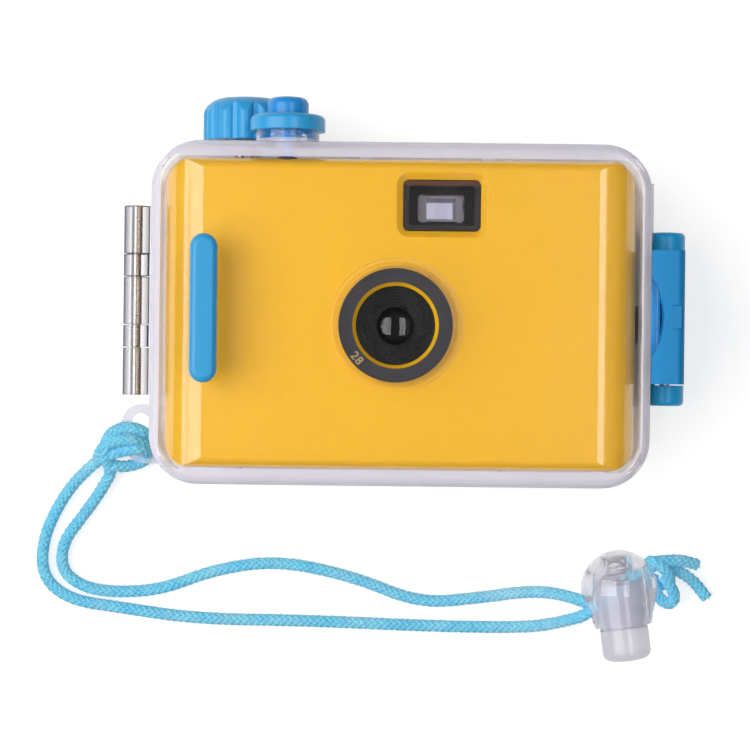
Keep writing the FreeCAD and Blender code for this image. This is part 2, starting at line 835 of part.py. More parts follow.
def make_plunger():
    collar_top = half_height + s.neck_rise + s.collar_rise
    low = collar_top - s.plunger_sink
    high = low + s.plunger_height
    recess_top = low + s.plunger_recess
    shaft_top = recess_top + 1.5
    cap = rod("plunger_cap", "y", s.plunger_radius, (low, high), button_at)
    domed = soften(
        "plunger_domed", cap, s.plunger_radius * 0.35, lambda edge: lies_at(edge, "y", high.number)
    )
    recess = rod("plunger_hollow", "y", s.spring_well_radius, (low - 1, recess_top), button_at)
    socket = rod("plunger_socket", "y", s.plunger_shaft_radius + s.press, (low, shaft_top), button_at)
    finish_node("plunger_button", carve("plunger_cut", domed, recess, socket))

    tip = camera_top + 0.5
    shaft = rod("plunger_rod", "y", s.plunger_shaft_radius, (tip, shaft_top), button_at)
    clip_span = (tip + 0.2, tip + 0.6)
    outer = rod("plunger_groove_outer", "y", s.plunger_shaft_radius + 1, clip_span, button_at)
    core = rod("plunger_groove_core", "y", s.plunger_shaft_radius - 0.4, clip_span, button_at)
    groove = carve("plunger_groove", outer, core)
    finish_node("plunger_shaft", carve("plunger_rod_cut", shaft, groove))
    disc = rod("plunger_clip_disc", "y", s.plunger_shaft_radius + 0.8, clip_span, button_at)
    hole = rod(
        "plunger_clip_hole", "y", s.plunger_shaft_radius - 0.4 + s.press, (tip - 1, tip + 2), button_at
    )
    mouth = box(
        "plunger_clip_mouth", (s.button_x - 0.8, s.button_x + 0.8), (tip - 1, tip + 2),
        (s.button_z, s.button_z + 5)
    )
    finish_node("plunger_clip", carve("plunger_clip_cut", disc, hole, mouth))
    seal = ring(
        "plunger_seal_ring", "y", s.plunger_shaft_radius + 0.62, as_size(1.1), half_height - 0.7, button_at
    )
    finish_node("plunger_seal", seal)


# Coil springs: a round wire swept along biarcs of a helix

def arc_from(start, tangent, end):
    """The arc that leaves the start along the tangent and reaches the end."""
    chord = end - start
    along = Vector(chord).normalize()
    side = tangent - along * tangent.dot(along)
    side.normalize()
    half_turn = math.acos(max(-1, min(1, tangent.dot(along)))) / 2
    middle = start + chord * 0.5 + side * (chord.Length / 2 * math.tan(half_turn))
    return Part.Arc(start, middle, end).toShape()


def coil_shape(radius, wire_radius, length, turns):
    """A coil along +Z from the origin, in quarter turns of two arcs each."""
    quarters = int(round(turns * 4))
    rise = (length - 2 * wire_radius) / quarters

    def point(step):
        angle = step * math.pi / 2
        return Vector(radius * math.cos(angle), radius * math.sin(angle), wire_radius + rise * step)

    def tangent(step):
        angle = step * math.pi / 2
        slope = rise / (radius * math.pi / 2)
        return Vector(-math.sin(angle), math.cos(angle), slope).normalize()

    edges = []
    for step in range(quarters):
        start, end = point(step), point(step + 1)
        leave, arrive = tangent(step), tangent(step + 1)
        gap = end - start
        both = leave + arrive
        spread = 2 * (1 - leave.dot(arrive))
        reach = (math.sqrt(gap.dot(both) ** 2 + spread * gap.dot(gap)) - gap.dot(both)) / spread
        joint = (start + leave * reach + end - arrive * reach) * 0.5
        joint_tangent = (joint - start - leave * reach).normalize()
        edges.append(arc_from(start, leave, joint))
        edges.append(arc_from(joint, joint_tangent, end))
    path = Part.Wire(edges)
    section = Part.Wire(Part.makeCircle(wire_radius, point(0), tangent(0)))
    return path.makePipeShell([section], True, False)


def coil(node, radius, wire_radius, turns, placement, length):
    spring = doc.addObject("Part::Feature", node + "_coil")
    spring.Shape = coil_shape(radius, wire_radius, length, turns)
    spring.Placement = placement
    pitch = (length - 2 * wire_radius) / turns
    print(f"{node}: least gap between its turns {pitch - 2 * wire_radius:.2f} mm")
    return finish_node(node, spring)


def make_plunger_spring():
    neck_top = half_height + s.neck_rise
    low = neck_top.number - s.spring_well_depth.number
    collar_top = neck_top.number + s.collar_rise.number
    high = collar_top - s.plunger_sink.number + s.plunger_recess.number
    start = Vector(s.button_x.number, low, s.button_z.number)
    placement = FreeCAD.Placement(start, turns_to_axis["y"])
    wire_radius = 0.22
    radius = s.spring_well_radius.number - 0.3 - wire_radius
    coil("plunger_spring", radius, wire_radius, 5, placement, high - low)


# Camera body covers

def camera_form(name, inset, z):
    """The front form of the camera body: rounded outline, round sides, softly rounded top and bottom."""
    half = (camera_half_width - inset, camera_half_height - inset)
    middle = (0, s.camera_rise)
    slab = rounded_slab(name + "_outline_slab", middle, half, s.camera_corner - inset, z)
    sides = box(
        name + "_side_block", (-half[0], half[0]),
        (camera_bottom + inset - 1, camera_top - inset + 1), (z[0] - 1, z[1])
    )
    round_sides = soften(
        name + "_round_sides", sides, s.camera_side_round - inset,
        lambda edge: runs_along(edge, "y") and edge.BoundBox.ZMin > z[1].number - 0.01
    )
    ends = box(
        name + "_end_block", (-half[0] - 1, half[0] + 1),
        (camera_bottom + inset, camera_top - inset), (z[0] - 1, z[1])
    )
    round_ends = soften(
        name + "_round_ends", ends, s.camera_edge_round,
        lambda edge: runs_along(edge, "x") and edge.BoundBox.ZMin > z[1].number - 0.01
    )
    return overlap_of(name, slab, round_sides, round_ends)


def rear_slab(name):
    """The rear half of the camera body with its back edge rounded."""
    half = (camera_half_width, camera_half_height)
    body = rounded_slab(name, (0, s.camera_rise), half, s.camera_corner, (camera_back, camera_split))
    round_level(body, name + "_round", camera_back, s.rear_wall * 0.9)
    return body


screw_places = [(33.0, 28.6), (-17.5, 28.6), (41.0, -28.9), (-40.0, -28.9)]
screw_radius = as_size(0.85)
screw_boss_top = camera_front - s.camera_wall / 2


def make_front_cover():
    outer = camera_form("cover_outer", as_size(0), (camera_back, camera_front))
    inner = camera_form("cover_inner", s.camera_wall, (camera_split - 1, camera_front - s.camera_wall))
    bezel_top = camera_front + s.bezel_rise
    bezel = rod("bezel_boss", "z", s.bezel_radius, (camera_front - s.camera_wall, bezel_top), lens)
    rear_room = box(
        "cover_rear_room", (-camera_half_width - 1, camera_half_width + 1),
        (camera_bottom + s.rear_wall, camera_top + 1), (camera_back - 1, camera_split)
    )
    shell = carve("cover_shell", outer, inner, rear_room)
    bosses = []
    for number, place in enumerate(screw_places):
        span = (s.chassis_front + s.body_gap, screw_boss_top)
        bosses.append(rod(f"cover_boss_{number}", "z", 2.0, span, place))
    whole = join("cover_solid", shell, bezel, *bosses)
    bore_radius = s.barrel_radius + s.side_gap / 2
    lens_bore = rod("cover_lens_bore", "z", bore_radius, (s.chassis_front, bezel_top + 1), lens)
    lens_mouth = tapered_rod(
        "cover_lens_mouth", "z", (bore_radius, s.ring_bore), (bezel_top - s.mouth_depth, bezel_top), lens
    )
    finder_hole = rounded_slab(
        "cover_finder_hole", finder,
        (s.finder_width / 2 + s.side_gap / 2, s.finder_height / 2 + s.side_gap / 2),
        s.finder_corner + s.side_gap / 2, (s.chassis_front, camera_front + 1)
    )
    bevel = rounded_slab(
        "cover_finder_bevel", finder, (s.finder_width / 2 + 0.2, s.finder_height / 2 + 0.2),
        s.finder_corner + 0.2,
        (camera_front - s.finder_bevel, camera_front + 0.05), 45
    )
    button_hole = rod(
        "cover_button_hole", "y", s.neck_radius / 3 + s.side_gap,
        (camera_top - 6.2, camera_top + 1), button_at
    )
    hub_hole = rod("cover_hub_hole", "y", 3.4, (camera_top - s.camera_wall - 1, camera_top + 1), knob_at)
    rewind_hole = rod(
        "cover_rewind_hole", "y", s.rewind_knob_radius + s.side_gap,
        (camera_top - s.camera_wall - 1, camera_top + 1), cassette_at
    )
    counter_hole = rod(
        "cover_counter_hole", "y", 2.2 + s.press,
        (camera_top - s.camera_wall - 1, camera_top + 1), (-9, 19)
    )
    release_hole = rod(
        "cover_release_hole", "y", 2.5, (camera_bottom - 1, camera_bottom + s.camera_wall + 1), sprocket_at
    )
    pilot_holes = []
    for number, place in enumerate(screw_places):
        span = (s.chassis_front, screw_boss_top - 1.0)
        pilot_holes.append(rod(f"cover_pilot_{number}", "z", screw_radius + s.press, span, place))
    finish_node("camera_front_cover", carve(
        "cover_cut", whole, lens_bore, lens_mouth, finder_hole, bevel, button_hole, hub_hole,
        rewind_hole, counter_hole, release_hole, *pilot_holes
    ))
    window_span = (camera_top - s.camera_wall, camera_top - 0.2)
    finish_node("counter_window", rod("counter_window_disc", "y", 2.2, window_span, (-9, 19)))


def make_rear_cover():
    low = s.door_top + s.side_gap
    slab = overlap_of(
        "rear_cover_block", rear_slab("rear_cover_slab"),
        box(
            "rear_cover_box", (-camera_half_width, camera_half_width),
            (low, camera_top + 1), (camera_back - 1, camera_split - 0.1)
        )
    )
    hollow = rounded_slab(
        "rear_cover_hollow", (0, (low + camera_top) / 2),
        (camera_half_width - s.camera_wall - 1, (camera_top - low) / 2 - s.rear_wall), 3.5,
        (camera_back + s.rear_wall, camera_split)
    )
    window = centred_box(
        "rear_cover_window", finder, (s.eyepiece_width / 2 + 0.6, s.eyepiece_height / 2 + 0.6),
        (camera_back - 1, camera_split + 1)
    )
    tunnel = centred_box(
        "rear_cover_tunnel_wall", finder,
        (s.eyepiece_width / 2 + 1.6, s.eyepiece_height / 2 + 1.6),
        (camera_back + s.rear_wall / 2, camera_split - 0.1)
    )
    wheel_slot = box(
        "rear_cover_wheel_slot",
        (s.knob_x - s.wheel_radius, s.knob_x + s.wheel_radius),
        (s.wheel_low - s.side_gap, s.wheel_low + s.wheel_thickness + s.side_gap),
        (camera_back - 1, camera_split + 1)
    )
    pin_bore = rod(
        "rear_cover_pin_bore", "y", 0.8 + s.press, (low - 1, low + 2.4),
        (1.45 - camera_half_width, camera_back + 3)
    )
    shell = carve("rear_cover_shell", slab, hollow)
    pin_boss = rod(
        "rear_cover_pin_boss", "y", 1.4, (low, low + 2.4), (1.45 - camera_half_width, camera_back + 3)
    )
    whole = join("rear_cover_solid", shell, tunnel, pin_boss)
    finish_node("camera_rear_cover", carve("rear_cover_cut", whole, window, wheel_slot, pin_bore))


def make_back_door():
    low = camera_bottom + s.rear_wall + 0.15
    top_z = camera_split - 0.2
    slab = overlap_of(
        "door_block", rear_slab("door_slab"),
        box(
            "door_box", (-camera_half_width, camera_half_width), (low, s.door_top),
            (camera_back - 1, top_z)
        )
    )
    hollow = rounded_slab(
        "door_hollow", (0.5, (low + s.door_top) / 2),
        (camera_half_width - 2.4, (s.door_top - low) / 2 - s.rear_wall), 4.5,
        (camera_back + s.rear_wall, camera_split)
    )
    pin_at = (1.45 - camera_half_width, camera_back + 3)
    bore = rod("door_pin_bore", "y", 0.8 + s.running, (low - 1, s.door_top + 1), pin_at)
    notch = box(
        "door_ear_notch", (-camera_half_width - 1, 3.2 - camera_half_width), (-27.3, -22.7),
        (camera_back - 1, camera_split + 1)
    )
    catch_slot = box(
        "door_catch_slot", (camera_half_width - 1.5, camera_half_width + 1), (-7.4, 3.4),
        (camera_back + 1.4, camera_back + 4.1)
    )
    finish_node("camera_back_door", carve("door_cut", slab, hollow, bore, notch, catch_slot))
    pin = rod("door_pin_rod", "y", 0.8, (-27, s.door_top + s.side_gap + 2.2), pin_at)
    finish_node("door_hinge_pin", pin)
    catch = box(
        "door_catch_block", (camera_half_width - 1.4, camera_half_width + 0.6), (-5.2, 3.3),
        (camera_back + 1.5, camera_back + 4.0)
    )
    ridge = box(
        "door_catch_ridge", (camera_half_width + 0.5, camera_half_width + 0.9), (-1.6, -0.6),
        (camera_back + 1.6, camera_back + 3.9)
    )
    finish_node("door_catch", join("door_catch_solid", catch, ridge))


def make_pressure_plate():
    plate_z = (camera_back + 2.9, camera_back + 3.9)
    half = (s.gate_width / 2 - 1, s.gate_height / 2 + 1)
    finish_node("pressure_plate", rounded_slab("pressure_plate_slab", lens, half, 1.5, plate_z))
    low = camera_back.number + s.rear_wall.number
    high = plate_z[0].number
    thickness = 0.25
    reach = 9.0
    leaf_width = 7.0
    x, y = s.lens_x.number, s.lens_y.number - leaf_width / 2
    below = Part.Arc(
        Vector(x - reach, y, high - thickness), Vector(x, y, low), Vector(x + reach, y, high - thickness)
    )
    above = Part.Arc(Vector(x + reach, y, high), Vector(x, y, low + thickness), Vector(x - reach, y, high))
    right = Part.LineSegment(Vector(x + reach, y, high - thickness), Vector(x + reach, y, high))
    left = Part.LineSegment(Vector(x - reach, y, high), Vector(x - reach, y, high - thickness))
    outline = Part.Wire([below.toShape(), right.toShape(), above.toShape(), left.toShape()])
    leaf = doc.addObject("Part::Feature", "pressure_leaf")
    leaf.Shape = Part.Face(outline).extrude(Vector(0, leaf_width, 0))
    leaf.Placement = FreeCAD.Placement()
    finish_node("pressure_spring", leaf)


# Chassis with the film path

def make_chassis():
    middle_y = (chassis_top + chassis_bottom) / 2
    half = (chassis_half_width, (chassis_top - chassis_bottom) / 2)
    corner = s.camera_corner - s.camera_wall
    slab = rounded_slab("chassis_slab", (0, middle_y), half, corner, (chassis_back, s.chassis_front))
    room = s.cassette_radius + 0.4
    bump_y = (s.lens_y - s.chamber_half_height, s.lens_y + s.chamber_half_height)
    bump = overlap_of(
        "chassis_cassette_bump",
        rod("cassette_bump_round", "y", room + 1, bump_y, cassette_at),
        box(
            "cassette_bump_block", (s.cassette_x - room, s.cassette_x + room), bump_y,
            (s.chassis_front - 1, camera_front)
        )
    )
    posts = []
    for number, degrees in enumerate((45, 135, 225)):
        angle = math.radians(degrees)
        reach = s.flange_radius - 1.5
        across = (s.lens_x + reach * math.cos(angle), s.lens_y + reach * math.sin(angle))
        span = (s.chassis_front - 1, s.chassis_front + s.barrel_base)
        posts.append(rod(f"barrel_post_{number}", "z", 1.5, span, across))
    lever_post = rod("lever_post", "z", 1.2, (s.chassis_front - 1, s.chassis_front + 5.0), (-14, 22))
    ear_low = box(
        "chassis_ear", (0.55 - camera_half_width, 2.85 - camera_half_width), (-27, -23),
        (camera_back + 1.9, camera_split - 0.2)
    )
    ear_neck = box(
        "chassis_ear_neck", (-chassis_half_width, 2.85 - camera_half_width), (-27, -23),
        (camera_back + 1.9, chassis_back + 1)
    )
    whole = join("chassis_solid", slab, bump, lever_post, ear_low, ear_neck, *posts)

    cuts = []
    chamber_y = (s.lens_y - s.chamber_half_height, s.lens_y + s.chamber_half_height)
    cuts.append(box(
        "cassette_chamber", (s.cassette_x - room, s.cassette_x + room - 1.0), chamber_y,
        (chassis_back - 1, s.chassis_front - 1.4)
    ))
    cuts.append(rod(
        "cassette_chamber_front", "y", room, (chamber_y[0] + 1.2, chamber_y[1] - 1.2), cassette_at
    ))
    cuts.append(box(
        "take_up_chamber", (s.knob_x - s.spool_flange - 2.4, s.knob_x + s.spool_flange + 0.3), chamber_y,
        (chassis_back - 1, s.chassis_front - 1.4)
    ))
    cuts.append(centred_box(
        "film_gate", lens, (s.gate_width / 2, s.gate_height / 2), (chassis_back - 1, chassis_back + 2.5)
    ))
    cuts.append(centred_box(
        "light_tunnel", lens, (s.gate_width * 0.36, s.gate_height * 0.375),
        (chassis_back, s.chassis_front - 1.2)
    ))
    cuts.append(rod("aperture", "z", 2.8, (s.chassis_front - 2, s.chassis_front + 1), lens))
    cuts.append(centred_box(
        "finder_channel", finder,
        (s.finder_width / 2 + s.body_gap, s.finder_height / 2 + s.body_gap),
        (chassis_back - 1, s.chassis_front + 1)
    ))
    cuts.append(rod(
        "wheel_room", "y", s.wheel_radius + 0.6,
        (s.wheel_low - s.side_gap, s.wheel_low + s.wheel_thickness + s.side_gap), knob_at
    ))
    cuts.append(rod("wheel_hub_room", "y", 3.0 + s.side_gap, (s.wheel_low, chassis_top + 1), knob_at))
    cuts.append(rod("spool_neck_room", "y", 3.0 + s.side_gap, (chamber_y[1] - 1, s.wheel_low), knob_at))
    cuts.append(rod(
        "spool_pin_bore", "y", 1.5 + s.running, (chamber_y[0] - 3, chamber_y[0] + 1), knob_at
    ))
    row_half = s.perforation_rows / 2
    for number, row in enumerate((s.lens_y - row_half, s.lens_y + row_half)):
        cuts.append(rod(
            f"sprocket_room_{number}", "y", s.sprocket_radius + s.sprocket_tooth + 0.5,
            (row - 2.2, row + 2.2), sprocket_at
        ))
    cuts.append(rod(
        "sprocket_bore", "y", s.sprocket_shaft_radius + s.running,
        (s.lens_y - row_half - 4.5, s.lens_y + row_half + 12), sprocket_at
    ))
    cuts.append(rod(
        "release_room", "y", 2.5, (chassis_bottom - 1, s.lens_y - row_half - 8), sprocket_at
    ))
    cuts.append(rod("fork_bore", "y", s.fork_radius + s.running, (chamber_y[1] - 1, chassis_top + 1), cassette_at))
    counter_room = rod("counter_room", "y", 6.0, (chassis_top - 2.0, chassis_top + 1), (-9, 16))
    counter_post = rod("counter_post", "y", 1.0, (chassis_top - 3.0, chassis_top - 0.2), (-9, 16))
    cuts.append(carve("counter_well", counter_room, counter_post))
    pawl_y = (s.wheel_low + 0.6, s.wheel_low + s.wheel_thickness - 0.4)
    pawl_x = s.knob_x + s.wheel_radius
    cuts.append(box("pawl_room", (pawl_x - 0.5, pawl_x + 2.7), pawl_y, (s.knob_z - 4.2, s.knob_z + 6.6)))
    blade_at = (s.lens_x + 8.5, s.lens_y - 8.5)
    cuts.append(rod("blade_pin_hole", "z", 0.8 + s.press, (s.chassis_front - 1.5, s.chassis_front + 1), blade_at))
    for number, place in enumerate(screw_places):
        way_z = (chassis_back - 1, s.chassis_front + 1)
        cuts.append(rod(f"screw_way_{number}", "z", screw_radius + s.body_gap, way_z, place))
        room_z = (chassis_back - 1, chassis_back + 1.6)
        cuts.append(rod(f"screw_head_room_{number}", "z", 2.0, room_z, place))
    cuts.append(rod(
        "ear_bore", "y", 0.8 + s.press, (-28, -22), (1.45 - camera_half_width, camera_back + 3)
    ))
    finish_node("camera_chassis", carve("chassis_cut", whole, *cuts))

    pin_span = (s.chassis_front - 1.5, s.chassis_front + s.barrel_base - 0.1)
    finish_node("blade_pivot", rod("blade_pivot_rod", "z", 0.8, pin_span, blade_at))
    pawl_z = (s.knob_z - 3.9, s.knob_z + 6.3)
    arm = box("pawl_arm", (pawl_x + 1.3, pawl_x + 2.4), (pawl_y[0] + 0.3, pawl_y[1] - 0.3), pawl_z)
    tooth = box(
        "pawl_tooth", (pawl_x + 0.2, pawl_x + 1.4), (pawl_y[0] + 0.3, pawl_y[1] - 0.3),
        (s.knob_z - 0.5, s.knob_z + 0.5)
    )
    finish_node("ratchet_pawl", join("pawl_solid", arm, tooth))


def make_cover_screws():
    pieces = []
    for number, place in enumerate(screw_places):
        head_z = (chassis_back + 0.1, chassis_back + 1.6)
        head = rod(f"screw_head_{number}", "z", 1.7, head_z, place)
        shank_z = (head_z[1] - 0.5, screw_boss_top - 1.1)
        shank = rod(f"screw_shank_{number}", "z", screw_radius, shank_z, place)
        pieces.append(join(f"screw_{number}", head, shank))
    group = doc.addObject("Part::Compound", "screw_group")
    group.Links = pieces
    finish_node("cover_screws", group)


# Lens group

def make_lens_group():
    base = s.chassis_front + s.barrel_base
    top = base + s.barrel_length
    flange = rod("barrel_flange", "z", s.flange_radius, (base, base + s.flange_thickness), lens)
    tube = rod("barrel_tube", "z", s.barrel_radius, (base, top), lens)
    tools = []
    steps = 7
    step_depth = s.funnel_depth / steps
    step_in = (s.funnel_mouth - s.funnel_throat) / steps
    for number in range(steps):
        radius = s.funnel_mouth - step_in * number
        span = (top - step_depth * (number + 1), top + 0.5 - step_depth * number)
        tools.append(rod(f"funnel_step_{number}", "z", radius, span, lens))
    throat_z = top - s.funnel_depth
    tools.append(rod("front_lens_seat", "z", s.front_lens_radius, (throat_z - 1.6, throat_z), lens))
    tools.append(rod("lens_channel", "z", s.rear_lens_radius - 0.8, (base - 1, throat_z), lens))
    tools.append(rod("rear_lens_seat", "z", s.rear_lens_radius, (base - 1, base + 0.9), lens))
    finish_node("lens_barrel", carve("barrel_cut", join("barrel_solid", flange, tube), *tools))

    front_disc = rod("front_lens_disc", "z", s.front_lens_radius - s.press, (throat_z - 1.6, throat_z), lens)
    front_ball = ball("front_lens_ball", s.front_lens_radius * 2.2, s.lens_x, s.lens_y,
                      throat_z - s.front_lens_radius * 2.2)
    finish_node("front_lens", overlap_of("front_lens_solid", front_disc, front_ball))
    rear_disc = rod("rear_lens_disc", "z", s.rear_lens_radius - s.press, (base + 0.1, base + 0.9), lens)
    rear_ball = ball("rear_lens_ball", s.rear_lens_radius * 3, s.lens_x, s.lens_y,
                     base + 0.1 + s.rear_lens_radius * 3)
    finish_node("rear_lens", overlap_of("rear_lens_solid", rear_disc, rear_ball))

    bezel_top = camera_front + s.bezel_rise
    ring_z = (bezel_top, bezel_top + s.ring_thickness)
    band = rod("name_ring_disc", "z", s.ring_radius, ring_z, lens)
    bore = rod("name_ring_bore", "z", s.ring_bore, (bezel_top - 1, bezel_top + 2), lens)
    finish_node("lens_ring", carve("name_ring_cut", band, bore))


def make_shutter_blade():
    blade_at = (s.lens_x + 8.5, s.lens_y - 8.5)
    z = (s.chassis_front + 0.4, s.chassis_front + 0.8)
    disc = rod("blade_disc", "z", 3.3, z, lens)
    hub = rod("blade_hub", "z", 1.8, z, blade_at)
    length = 8.5 * math.sqrt(2)
    arm = doc.addObject("Part::Box", "blade_arm")
    bind(arm, Length=length, Width=2.4, Height=z[1] - z[0])
    arm.Placement = FreeCAD.Placement(Vector(), Rotation(Vector(0, 0, 1), 135))
    offset = 1.2 * math.sin(math.radians(45))
    put(arm, blade_at[0] + offset, blade_at[1] + offset, z[0])
    blade = join("blade_solid", disc, hub, arm)
    hole = rod("blade_hole", "z", 0.8 + s.running, (z[0] - 1, z[1] + 1), blade_at)
    finish_node("shutter_blade", carve("blade_cut", blade, hole))


def make_shutter_release():
    high = camera_top + 0.3
    radius = s.neck_radius / 3
    cap = rod("release_cap", "y", radius, (high - 4.2, high), button_at)
    stem = rod("release_stem", "y", 1.1, (25.8, high - 4), button_at)
    finish_node("camera_shutter_button", join("release_button_solid", cap, stem))
    z = (s.chassis_front + 3.4, s.chassis_front + 4.6)
    hub = rod("release_hub", "z", 2.2, z, (-14, 22))
    long_arm = box("release_long_arm", (s.button_x - 1.6, -14), (23.6, 25.5), z)
    rise = box("release_rise", (-16.2, -13), (22, 25.5), z)
    short_arm = box("release_short_arm", (-15, -13), (14, 22), z)
    lever = join("release_lever_solid", hub, long_arm, rise, short_arm)
    hole = rod("release_lever_hole", "z", 1.2 + s.running, (z[0] - 1, z[1] + 1), (-14, 22))
    finish_node("release_lever", carve("release_lever_cut", lever, hole))


# Viewfinder

def make_viewfinder():
    z = (chassis_back + s.side_gap, camera_front - s.finder_bevel + 0.1)
    half = (s.finder_width / 2, s.finder_height / 2)
    block = rounded_slab("finder_block", finder, half, s.finder_corner, z)
    front_half = (half[0] - s.finder_wall, half[1] - s.finder_wall)
    middle_z = z[1] - 9
    front_room = rounded_slab("finder_front_room", finder, front_half, 0.6, (middle_z, z[1] + 1))
    mask = rounded_slab("finder_mask", finder, (5.2, 3.2), 1.0, (middle_z - 2, z[1]))
    rear_half = (s.eyepiece_width / 2, s.eyepiece_height / 2)
    rear_room = centred_box("finder_rear_room", finder, rear_half, (z[0] - 1, middle_z - 1.5))
    finish_node("viewfinder_tunnel", carve("finder_cut", block, front_room, mask, rear_room))

    lens_z = (z[1] - 2.3, z[1] - 0.9)
    lens_half = (front_half[0] - 0.1, front_half[1] - 0.1)
    pane = rounded_slab("finder_pane", finder, lens_half, 0.5, lens_z)
    bowl_radius = 14.0
    bowl = ball("finder_bowl", bowl_radius, s.finder_x, s.finder_y, lens_z[0] - bowl_radius + 0.9)
    finish_node("viewfinder_front_lens", carve("finder_lens_cut", pane, bowl))
    eye_z = (z[0] + 0.5, z[0] + 2.3)
    eye_half = (rear_half[0] - 0.1, rear_half[1] - 0.1)
    eye_block = centred_box("eyepiece_block", finder, eye_half, eye_z)
    eye_ball = ball("eyepiece_ball", 11, s.finder_x, s.finder_y, eye_z[1] - 11)
    finish_node("viewfinder_eyepiece", overlap_of("eyepiece_solid", eye_block, eye_ball))


# Film transport

def make_wind_wheel():
    span = (s.wheel_low, s.wheel_low + s.wheel_thickness)
    disc = rod("wheel_disc", "y", s.wheel_radius, span, knob_at)
    hub_top = camera_top - 0.2
    hub = rod("wheel_hub", "y", 3.0, (span[1] - 0.5, hub_top), knob_at)
    tools = []
    notch_count = 30
    for number in range(notch_count):
        angle = 2 * math.pi * number / notch_count
        across = (s.knob_x + s.wheel_radius * math.cos(angle), s.knob_z + s.wheel_radius * math.sin(angle))
        tools.append(rod(f"wheel_notch_{number}", "y", 0.5, (span[0] - 1, span[1] + 1), across))
    slot_low = blade_low - s.side_gap
    tools.append(box(
        "wheel_drive_slot",
        (s.knob_x - s.drive_blade / 2 - s.side_gap, s.knob_x + s.drive_blade / 2 + s.side_gap),
        (slot_low, hub_top + 1), (s.knob_z - 4, s.knob_z + 4)
    ))
    finish_node("wind_wheel", carve("wheel_cut", join("wheel_solid", disc, hub), *tools))

    low = s.lens_y - s.chamber_half_height
    high = s.lens_y + s.chamber_half_height
    core = rod("spool_core", "y", s.spool_radius, (low + 0.5, high - 0.5), knob_at)
    low_flange = rod("spool_low_flange", "y", s.spool_flange, (low + 0.4, low + 1.4), knob_at)
    high_flange = rod("spool_high_flange", "y", s.spool_flange, (high - 1.4, high - 0.4), knob_at)
    neck = rod("spool_neck", "y", 3.0, (high - 0.6, s.wheel_low), knob_at)
    pin = rod("spool_pin", "y", 1.5, (low - 2.6, low + 1), knob_at)
    spool = join("spool_solid", core, low_flange, high_flange, neck, pin)
    film_slot = box(
        "spool_film_slot", (s.knob_x - 0.5, s.knob_x + 0.5), (s.lens_y - 17.5, s.lens_y + 17.5),
        (s.knob_z - 6, s.knob_z + 6)
    )
    finish_node("take_up_spool", carve("spool_cut", spool, film_slot))


def make_sprocket():
    row_half = s.perforation_rows / 2
    shaft = rod(
        "sprocket_rod", "y", s.sprocket_shaft_radius,
        (s.lens_y - row_half - 4.2, s.lens_y + row_half + 11.7), sprocket_at
    )
    pieces = [shaft]
    tooth_count = 6
    for row in (s.lens_y - row_half, s.lens_y + row_half):
        pieces.append(rod("sprocket_wheel", "y", s.sprocket_radius, (row - 1.8, row + 1.8), sprocket_at))
        for number in range(tooth_count):
            angle = 2 * math.pi * (number + 0.5) / tooth_count
            across = (
                s.sprocket_x + s.sprocket_radius * math.cos(angle),
                s.sprocket_z + s.sprocket_radius * math.sin(angle),
            )
            pieces.append(rod("sprocket_point", "y", s.sprocket_tooth, (row - 0.9, row + 0.9), across))
    finish_node("film_sprocket", join("sprocket_solid", *pieces))


def make_counter():
    top = chassis_top - 0.5
    disc = rod("counter_disc_blank", "y", 5.6, (top - 1.1, top), (-9, 16))
    hole = rod("counter_disc_hole", "y", 1.0 + s.running, (top - 3, top + 1), (-9, 16))
    finish_node("counter_disc", carve("counter_disc_cut", disc, hole))


def make_rewind():
    seat = chassis_top + s.side_gap
    high = camera_top + 0.6
    disc = rod("rewind_disc", "y", s.rewind_knob_radius, (seat, high), cassette_at)
    well = box(
        "rewind_bar_well",
        (s.cassette_x - 5.6, s.cassette_x + 5.6), (high - 1.0, high + 1),
        (s.cassette_z - 1.6, s.cassette_z + 1.6)
    )
    finger_bar = box(
        "rewind_finger_bar", (s.cassette_x - 5.3, s.cassette_x + 5.3), (high - 1.2, high - 0.2),
        (s.cassette_z - 1.2, s.cassette_z + 1.2)
    )
    socket = rod("rewind_socket", "y", s.fork_radius + s.press, (seat - 1, seat + 1.0), cassette_at)
    knob = join("rewind_knob_solid", carve("rewind_disc_cut", disc, well), finger_bar)
    finish_node("rewind_knob", carve("rewind_knob_cut", knob, socket))
    chamber_top = s.lens_y + s.chamber_half_height
    shaft = rod("fork_shaft", "y", s.fork_radius, (chamber_top - 0.6, seat + 1.0), cassette_at)
    key = box(
        "fork_key", (s.cassette_x - 1.7, s.cassette_x + 1.7), (chamber_top - 3.6, chamber_top - 0.5),
        (s.cassette_z - 0.6, s.cassette_z + 0.6)
    )
    finish_node("rewind_fork", join("fork_solid", shaft, key))
    release_span = (camera_bottom - 0.6, camera_bottom + 3.9)
    finish_node("rewind_release", rod("release_pin", "y", 2.2, release_span, sprocket_at))


# Cords: straight runs joined by tangent arcs, points chosen by hand along the photographed strap

